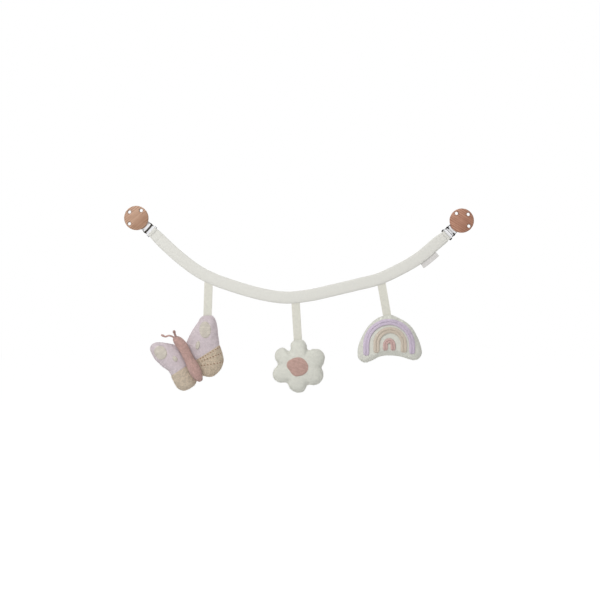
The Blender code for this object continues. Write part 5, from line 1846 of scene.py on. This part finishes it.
@dataclass
class ButterflyBody(Assembly):
    """The knitted body with its gathered tail, its two antennae and the seam behind it."""

    BODY = "butterfly_body"

    drawing: Drawing  # the butterfly's
    length: float = 76.2 * MM
    radius: float = 8.7 * MM
    height: float = 10.76 * MM  # of its middle over the wings' plane
    cloth: float = 1.1 * MM
    head_share: float = 0.94
    head_wide: float = 0.74
    head_aside: float = -0.32
    antenna_radius: float = 1.35 * MM
    long_antenna: float = 13.6 * MM
    long_root: float = math.radians(122)
    short_antenna: float = 5.6 * MM
    short_antenna_radius: float = 1.7 * MM
    short_root: float = math.radians(86)
    girth: float = 20 * 2.7 * MM  # of its cloth, a whole number of knitted columns
    slimness: float = 0.114  # its radius over its length
    rings: int = 170

    def build(self) -> None:
        """Build every piece of the body."""
        knit = self.tube("butterfly_body_knit", 0.0, True)
        self.dress(knit, self.finishes.pink, self.BODY, ["butterfly_body_cover"], "knit_pink", 0.9)
        wad = self.tube("butterfly_body_stuffing", self.cloth + 0.4 * MM, False)
        self.dress(wad, self.finishes.stuffing, self.BODY, ["butterfly_body_filling"], "toy_filling", 1.0)
        self.build_antenna("long", self.long_antenna, self.antenna_radius, self.long_root, LONG_ANTENNA)
        self.build_antenna("short", self.short_antenna, self.short_antenna_radius, self.short_root, SHORT_ANTENNA)
        self.build_centre_seam()

    def tube(self, name: str, wall: float, gathered: bool) -> Thing:
        """The body's round skin.

        Args:
            name: the piece's name.
            wall: how far inside the cover it lies.
            gathered: whether its tail shows the gathered knitting.

        Returns:
            The piece.
        """
        profile = np.array(BODY_SHARES)
        lead = 2 * profile[:1] - profile[1:2]
        tail = 2 * profile[-1:] - profile[-2:-1]
        line = smooth_line(np.vstack([lead, profile, tail]), 12, False)
        slim = [1.0, self.slimness, self.slimness]
        line = evenly(line * slim, self.rings, False) / slim
        turns = circle(72)
        rows, cloth = [], []
        for along, wide, aside in line:
            y = (along - 0.5) * (self.length - 2 * wall)
            radius = max(wide * self.radius - wall, 0.6 * MM)
            spots = columns(np.cos(turns) * radius, y, np.sin(turns) * radius)
            reach = radius + 0.4 * MM * ripple(spots, 10 * MM, 5.0) * min(wide * 1.4, 1.0)
            if gathered:
                pull = math.exp(-(((along + 0.005) / 0.05) ** 2))
                reach = reach + 0.3 * MM * pull * np.cos(9 * turns)
            rows.append(columns(aside * self.radius + reach * np.cos(turns), y, self.height + reach * np.sin(turns)))
            cloth.append(columns(np.append(turns, math.tau) / math.tau * self.girth, y))
        draft = Draft()
        numbers = draft.grid(np.array(rows), np.array(cloth), wrap=True)
        for k, depth in ((0, 0.5 * MM), (-1, 0.0)):
            tip = rows[k].mean(axis=0) + np.array([0.0, depth, 0.0])
            draft.cap(numbers[k], tip, tuple(cloth[k][0]), cloth[k])
        return draft.build(name, self.drawing)

    def build_antenna(self, size: str, length: float, thick: float, root: float, shares: Sequence[Triple]) -> None:
        """One antenna: a twisted cord from the head, ending in a knot.

        Args:
            size: the word for it in its name.
            length: its length.
            thick: its radius.
            root: where round the head it starts.
            shares: its route, as shares of the length.
        """
        head = np.array([self.head_aside * self.radius, (self.head_share - 0.5) * self.length, self.height])
        way = np.array([math.cos(root), math.sin(root), 0.0])
        start = head + (self.head_wide * self.radius + 0.4 * MM) * way
        points = start + length * np.array(shares)
        inside = start - way * 3.2 * MM
        end = points[-1] - points[-2]
        end = end / np.linalg.norm(end)
        knot = thick * 1.35
        tail = points[-1] + end * (thick + 1.6 * knot)
        path = np.vstack([inside - way * MM, inside, points, tail, tail + end * MM])
        line = evenly(smooth_line(path, 10, False), 90, False)
        along = lengths_along(line)
        middle = along[-1] - 1.25 * knot
        radii = thick * (1 + 0.35 * np.exp(-(((along - middle) / (1.15 * knot)) ** 2)))
        radii *= 1 + 0.06 * ripple(columns(along, along), 2.5 * MM, 2.0)
        antenna = cord(f"butterfly_{size}_antenna_cord", self.drawing, line, radii, 3, 5.5 * MM)
        self.dress(antenna, self.finishes.pink, self.BODY, [f"butterfly_{size}_antenna"], "knit_pink")

    def build_centre_seam(self) -> None:
        """The narrow web of cloth between the two wings, behind the body."""
        ys = np.linspace(-0.37, 0.37, 90) * self.length
        turns = circle(20)
        top = self.height - self.radius - 0.3 * MM
        middle, half = (top - 1.6 * MM) / 2, (top + 1.6 * MM) / 2
        rows, cloth = [], []
        for y in ys:
            sway = 0.12 * MM * math.sin(y / (1.6 * MM))
            x = 0.7 * MM * blunt(np.cos(turns), 0.5) + sway
            z = middle + half * blunt(np.sin(turns), 0.6)
            rows.append(columns(x, y, z))
            cloth.append(columns(np.append(turns, math.tau) * MM, y))
        seam = surface("butterfly_centre_web", rows, cloth, self.drawing, tube=True)
        self.dress(seam, self.finishes.lilac, self.BODY, ["butterfly_centre_seam"], "wing_lilac")


@dataclass
class Butterfly(Assembly):
    """Both wings and the body between them."""

    lean: float = math.radians(27)

    def build(self) -> None:
        """Build the whole butterfly."""
        drawing = Drawing.at_hinge("left_wing_fold", self.lean)
        Wing(self.finishes, RIGHT_WING, drawing).build()
        ButterflyBody(self.finishes, drawing).build()
        Wing(self.finishes, LEFT_WING, drawing).build()
        self.build_thread_end(drawing)

    def build_thread_end(self, drawing: Drawing) -> None:
        """The brown thread that ties the body down beside the right wing."""
        place = np.array([[7.6, -8.0, 9.4]]) * MM
        knot = stitches("brown_tie_stitch", drawing, place, np.array([[0.5, 0.8, 0.1]]), 2.2 * MM, 0.35 * MM)
        self.dress(knot, self.finishes.brown_thread, "butterfly_body")


# The flower and the rainbow


@dataclass
class Flower(Assembly):
    """Two white knitted faces over a filling, with a pink knitted middle."""

    BODY = "flower"

    radius: float = 40 * MM
    swell: float = 11.2 * MM
    notch_angles: tuple[float, ...] = (-4, 61, 120, 175, 235, 295)
    reaches: tuple[float, ...] = (  # at every ten degrees from the right, anticlockwise
        (0.90, 0.965, 1.03, 1.035, 0.985, 0.85)
        + (0.73, 0.85, 0.98, 0.99, 0.98, 0.88)
        + (0.70, 0.90, 0.99, 1.01, 0.95, 0.84)
        + (0.855, 0.965, 1.03, 1.01, 0.94, 0.82)
        + (0.82, 0.91, 0.965, 0.985, 0.955, 0.85)
        + (0.82, 0.92, 0.985, 1.0, 0.98, 0.92)
    )
    middle_size: float = 16.3 * MM
    middle_place: Pair = (-0.045, -0.005)
    middle_shares: tuple[float, ...] = (
        *(1.0, 0.93, 0.90, 0.88, 0.86, 0.90, 1.02),
        *(0.98, 0.80, 0.84, 0.90, 0.86, 0.92, 0.98),
    )
    from_hinge: Pair = (1.4 * MM, -40.342 * MM)
    crease_start: float = 0.46  # of the radius, from the middle
    crease_depth: float = 1.5 * MM
    crease_width: float = 3.4 * MM

    def reach_at(self, degrees: float) -> float:
        """The outline's reach at an angle, as a share of the radius."""
        pitch = 360 / len(self.reaches)
        angles = np.arange(len(self.reaches) + 1) * pitch
        return float(np.interp(degrees % 360, angles, [*self.reaches, self.reaches[0]]))

    def outline(self) -> Array:
        """The seam's line, anticlockwise."""
        turns = circle(len(self.reaches))
        reach = self.radius * np.array(self.reaches)
        corners = columns(reach * np.cos(turns), reach * np.sin(turns))
        return evenly(smooth_line(corners, 12, True), 216, True)

    def build(self) -> None:
        """Build every piece of the flower."""
        drawing = Drawing.at_hinge("flower_swing").moved(*self.from_hinge)
        outline = self.outline()
        stuffed = Stuffed(outline, np.zeros(2), self.swell)
        whole = stuffed.inside(-0.2 * MM).closed_mesh("flower_net")
        Plumping().apply(whole)
        lay_cloth(whole, self.swell)
        self.crease(whole)
        Sewing(seed=9.0).apply(whole, outline)
        ground = Ground(whole)
        self.part_faces(whole, self.BODY, drawing)
        self.stuff(stuffed, drawing, self.BODY, 3.0)
        centre = np.array(self.middle_place) * self.radius
        turns = circle(len(self.middle_shares))
        reach = np.array(self.middle_shares) * self.middle_size
        rim = columns(np.cos(turns) * reach, np.sin(turns) * reach)
        rim = centre + evenly(smooth_line(rim, 10, True), 110, True)
        patch = KnittedPatch(1.4 * MM, 20, 9.0)
        middle = patch.build("flower_middle_knit", rim, centre, ground, drawing, math.radians(8))
        self.dress(middle, self.finishes.flower_pink, self.BODY, ["flower_middle"], "knit_pink", 0.4)

    def crease(self, whole: Thing) -> None:
        """Draw the cloth in between the petals, from each notch towards the middle."""
        points = coordinates(whole)
        angle = np.arctan2(points[:, 1], points[:, 0])
        far = np.linalg.norm(points[:, :2], axis=1) / self.radius
        depth = np.zeros(len(points))
        for degrees in self.notch_angles:
            reach = self.reach_at(degrees)
            turn = math.radians(degrees)
            away = np.abs(np.angle(np.exp(1j * (angle - turn)))) * far * self.radius
            along = np.clip((far - self.crease_start) / (reach - self.crease_start), 0.0, 1.0)
            depth += self.crease_depth * along**1.3 * np.exp(-((away / self.crease_width) ** 2))
        push(whole, -depth)


@dataclass(frozen=True)
class Bow:
    """One raised bow of the rainbow: two knitted cords side by side."""

    name: str
    middle: Pair
    half_span: float
    rise: float
    width: float
    left_leg: float
    right_leg: float
    height: float = 2.1 * MM

    def line(self, centre: Array) -> Array:
        """The bow's middle line, from its left foot to its right one."""
        turns = np.linspace(math.pi, 0.0, 80)
        arch = columns(np.cos(turns) * self.half_span, np.sin(turns) * self.rise)
        left = columns(-self.half_span, np.linspace(-self.left_leg, 0.0, 15)[:-1])
        right = columns(self.half_span, np.linspace(0.0, -self.right_leg, 15)[1:])
        return centre + evenly(np.vstack([left, arch, right]), 130, False)


@dataclass
class Rainbow(Assembly):
    """An arch-shaped white cushion with three bows on its front."""

    BODY = "rainbow"

    width: float = 95.2 * MM
    height: float = 70.4 * MM
    swell: float = 10.2 * MM
    from_hinge: Pair = (2.047 * MM, -42.968 * MM)
    middle: Pair = (0.02, -0.02)
    shares: tuple[Pair, ...] = (
        (-0.005, 0.594), (0.075, 0.588), (0.243, 0.476), (0.348, 0.362), (0.431, 0.200), (0.486, 0.027),
        (0.520, -0.162), (0.500, -0.278), (0.445, -0.343), (0.370, -0.352), (0.208, -0.286), (0.069, -0.263),
        (-0.063, -0.263), (-0.162, -0.297), (-0.258, -0.362), (-0.355, -0.406), (-0.418, -0.381), (-0.468, -0.305),
        (-0.478, -0.210), (-0.468, -0.067), (-0.432, 0.076), (-0.363, 0.265), (-0.266, 0.427), (-0.175, 0.524),
        (-0.092, 0.571),
    )
    bows: tuple[Bow, ...] = (
        Bow("rainbow_lilac_bow", (0.008, -0.040), 34.0 * MM, 34.5 * MM, 8.9 * MM, 15.5 * MM, 13.0 * MM),
        Bow("rainbow_beige_bow", (0.023, -0.011), 20.3 * MM, 20.5 * MM, 9.2 * MM, 13.5 * MM, 13.0 * MM),
        Bow("rainbow_pink_bow", (0.008, -0.032), 5.7 * MM, 6.2 * MM, 7.2 * MM, 8.5 * MM, 8.5 * MM),
    )

    def build(self) -> None:
        """Build every piece of the rainbow."""
        size = np.array([self.width, self.height])
        drawing = Drawing.at_hinge("rainbow_swing").moved(*self.from_hinge)
        points = (np.array(self.shares) * size)[::-1]
        outline = evenly(smooth_line(points, 12, True), 220, True)
        stuffed = Stuffed(outline, np.array(self.middle) * size, self.swell)
        whole = stuffed.inside(-0.5 * MM).closed_mesh("rainbow_net")
        Plumping().apply(whole)
        lay_cloth(whole, self.swell)
        Sewing(seed=14.0).apply(whole, outline)
        ground = Ground(whole)
        self.part_faces(whole, self.BODY, drawing)
        self.stuff(stuffed, drawing, self.BODY, 11.0)
        looks = (
            (self.finishes.lilac_cord, "bow_lilac"),
            (self.finishes.beige_cord, "knit_beige"),
            (self.finishes.pink_cord, "knit_pink"),
        )
        for bow, (finish, slot) in zip(self.bows, looks):
            piece = self.bow(bow, np.array(bow.middle) * size, ground, drawing)
            self.dress(piece, finish, self.BODY, [bow.name], slot, 0.7)

    def bow(self, bow: Bow, centre: Array, ground: Ground, drawing: Drawing) -> Thing:
        """Lay one bow on the cushion.

        Args:
            bow: the bow's sizes.
            centre: the middle of its arch.
            ground: the cushion's front.
            drawing: where the cushion stands.

        Returns:
            The piece.
        """
        line = bow.line(centre)
        along = lengths_along(line)
        ways = directions(line)
        away = columns(-ways[:, 1], ways[:, 0])
        shares = np.linspace(-1.0, 1.0, 33)
        humps = np.sqrt(np.clip(1 - ((np.abs(shares) - 0.5) / 0.5) ** 2, 0.0, 1.0))
        profile = 0.3 + 0.7 * humps**0.85
        end = bow.width / 2
        rows, cloth = [], []
        for place, across, length in zip(line, away, along):
            near = min(length, along[-1] - length) / end
            rounding = math.sqrt(max(1 - max(1 - near, 0.0) ** 2.4, 0.0))
            wobble = 0.25 * MM * ripple(np.array([[length, bow.width]]), 7 * MM, 3.0)[0]
            half = bow.width / 2 * (0.35 + 0.65 * rounding) + wobble
            under = place + across * (half * shares)[:, None]
            lift = bow.height * profile * rounding - 0.35 * MM * np.abs(shares) ** 12
            puff = 1 + 0.07 * ripple(columns(length, shares * 4 * MM), 3.2 * MM, 6.0)
            rows.append(np.column_stack([under, ground.heights(under) + lift * puff]))
            cloth.append(columns(shares * bow.width * 0.68, length))
        return surface(f"{bow.name}_cords", rows, cloth, drawing)


# The camera, the light and the floor


@dataclass(frozen=True)
class Studio:
    """A pale floor, soft lamps, and the camera in front of the middle of the photograph."""

    middle: Triple = (0.001407, -0.0035, -0.000619)
    width: float = 0.8889  # of what the camera sees at the object
    lens: float = 90.0
    sensor: float = 36.0
    floor: float = -0.62
    floor_reach: float = 14.0
    floor_grey: float = 0.86
    lamp_size: float = 1.2
    daylight: float = 0.56  # of the surround, on the object

    def build(self) -> None:
        """Set up the camera, the world, the lamps and the floor."""
        scene = bpy.context.scene
        scene.view_settings.view_transform = "Standard"
        self.camera(scene)
        self.world(scene)
        self.lamp("key_lamp", (-0.9, -1.5, 1.3), 30.0)
        self.lamp("fill_lamp", (1.3, -1.4, 0.2), 2.5)
        self.lamp("back_lamp", (0.2, 1.6, 1.0), 14.0)
        self.ground()

    def camera(self, scene: bpy.types.Scene) -> None:
        """Make the camera."""
        data = bpy.data.cameras.new("camera")
        data.lens = self.lens
        data.sensor_width = self.sensor
        camera = on_stage("camera", data)
        away = self.width * self.lens / self.sensor
        camera.location = Vector(self.middle) + TOWARDS_VIEWER * away
        camera.rotation_euler = (math.pi / 2, 0.0, 0.0)
        scene.camera = camera

    def world(self, scene: bpy.types.Scene) -> None:
        """A soft grey surround that the camera and mirrors see as white."""
        bench = Bench("studio", world=True)
        bench.set(Color=(1.0, 1.0, 1.0, 1.0), Strength=self.shine(bench, self.daylight, 1.0))
        scene.world = bench.made

    def shine(self, bench: Bench, others: float, seen: float) -> Socket:
        """How brightly a surface shines for the camera and for what mirrors it.

        Args:
            bench: the material or world in the making.
            others: the strength for every other ray.
            seen: the strength for camera, glossy and transmission rays.

        Returns:
            The strength.
        """
        rays = bench.node("LightPath", {}).outputs
        mirrored = bench.math("MAXIMUM", rays["Is Glossy Ray"], rays["Is Transmission Ray"])
        direct = bench.math("MAXIMUM", rays["Is Camera Ray"], mirrored)
        return bench.node("MapRange", {"Value": direct, "To Min": others, "To Max": seen}).outputs[0]

    def lamp(self, name: str, place: Triple, power: float) -> None:
        """Hang one soft square lamp that looks at the object.

        Args:
            name: the lamp's name.
            place: where it hangs.
            power: its power in watts.
        """
        data = bpy.data.lights.new(name, "AREA")
        data.shape = "SQUARE"
        data.size = self.lamp_size
        data.energy = power
        lamp = on_stage(name, data)
        lamp.location = place
        lamp.rotation_euler = (-Vector(place)).to_track_quat("-Z", "Y").to_euler()

    def ground(self) -> None:
        """Lay the floor: it keeps the object's shadow and is white to the camera."""
        mesh = bpy.data.meshes.new("floor")
        reach = self.floor_reach
        corners = [(x * reach, y * reach, self.floor) for x, y in ((-1, -1), (1, -1), (1, 1), (-1, 1))]
        mesh.from_pydata(corners, [], [(0, 1, 2, 3)])
        floor = on_stage("floor", mesh)
        bench = Bench("pale_floor")
        bench.set(Base_Color=(*[self.floor_grey] * 3, 1.0), Roughness=0.9, Specular_IOR_Level=0.0)
        shine = self.shine(bench, 0.0, 1.0 - self.floor_grey * self.daylight)
        bench.set(Emission_Color=(1.0, 1.0, 1.0, 1.0), Emission_Strength=shine)
        mesh.materials.append(bench.made)


def main() -> None:
    """Build and dress the whole toy."""
    logging.basicConfig(level=logging.INFO, format="%(name)s: %(message)s")
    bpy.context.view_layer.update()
    Studio().build()
    finishes = Finishes()
    Strap(finishes).build()
    for side in Side:
        Clip(finishes, side).build()
    for toy, seed in (("butterfly", 0.3), ("flower", 0.7), ("rainbow", 1.1)):
        Ribbon(finishes, toy, seed).build()
    Butterfly(finishes).build()
    Flower(finishes).build()
    Rainbow(finishes).build()


if __name__ == "__main__":
    main()
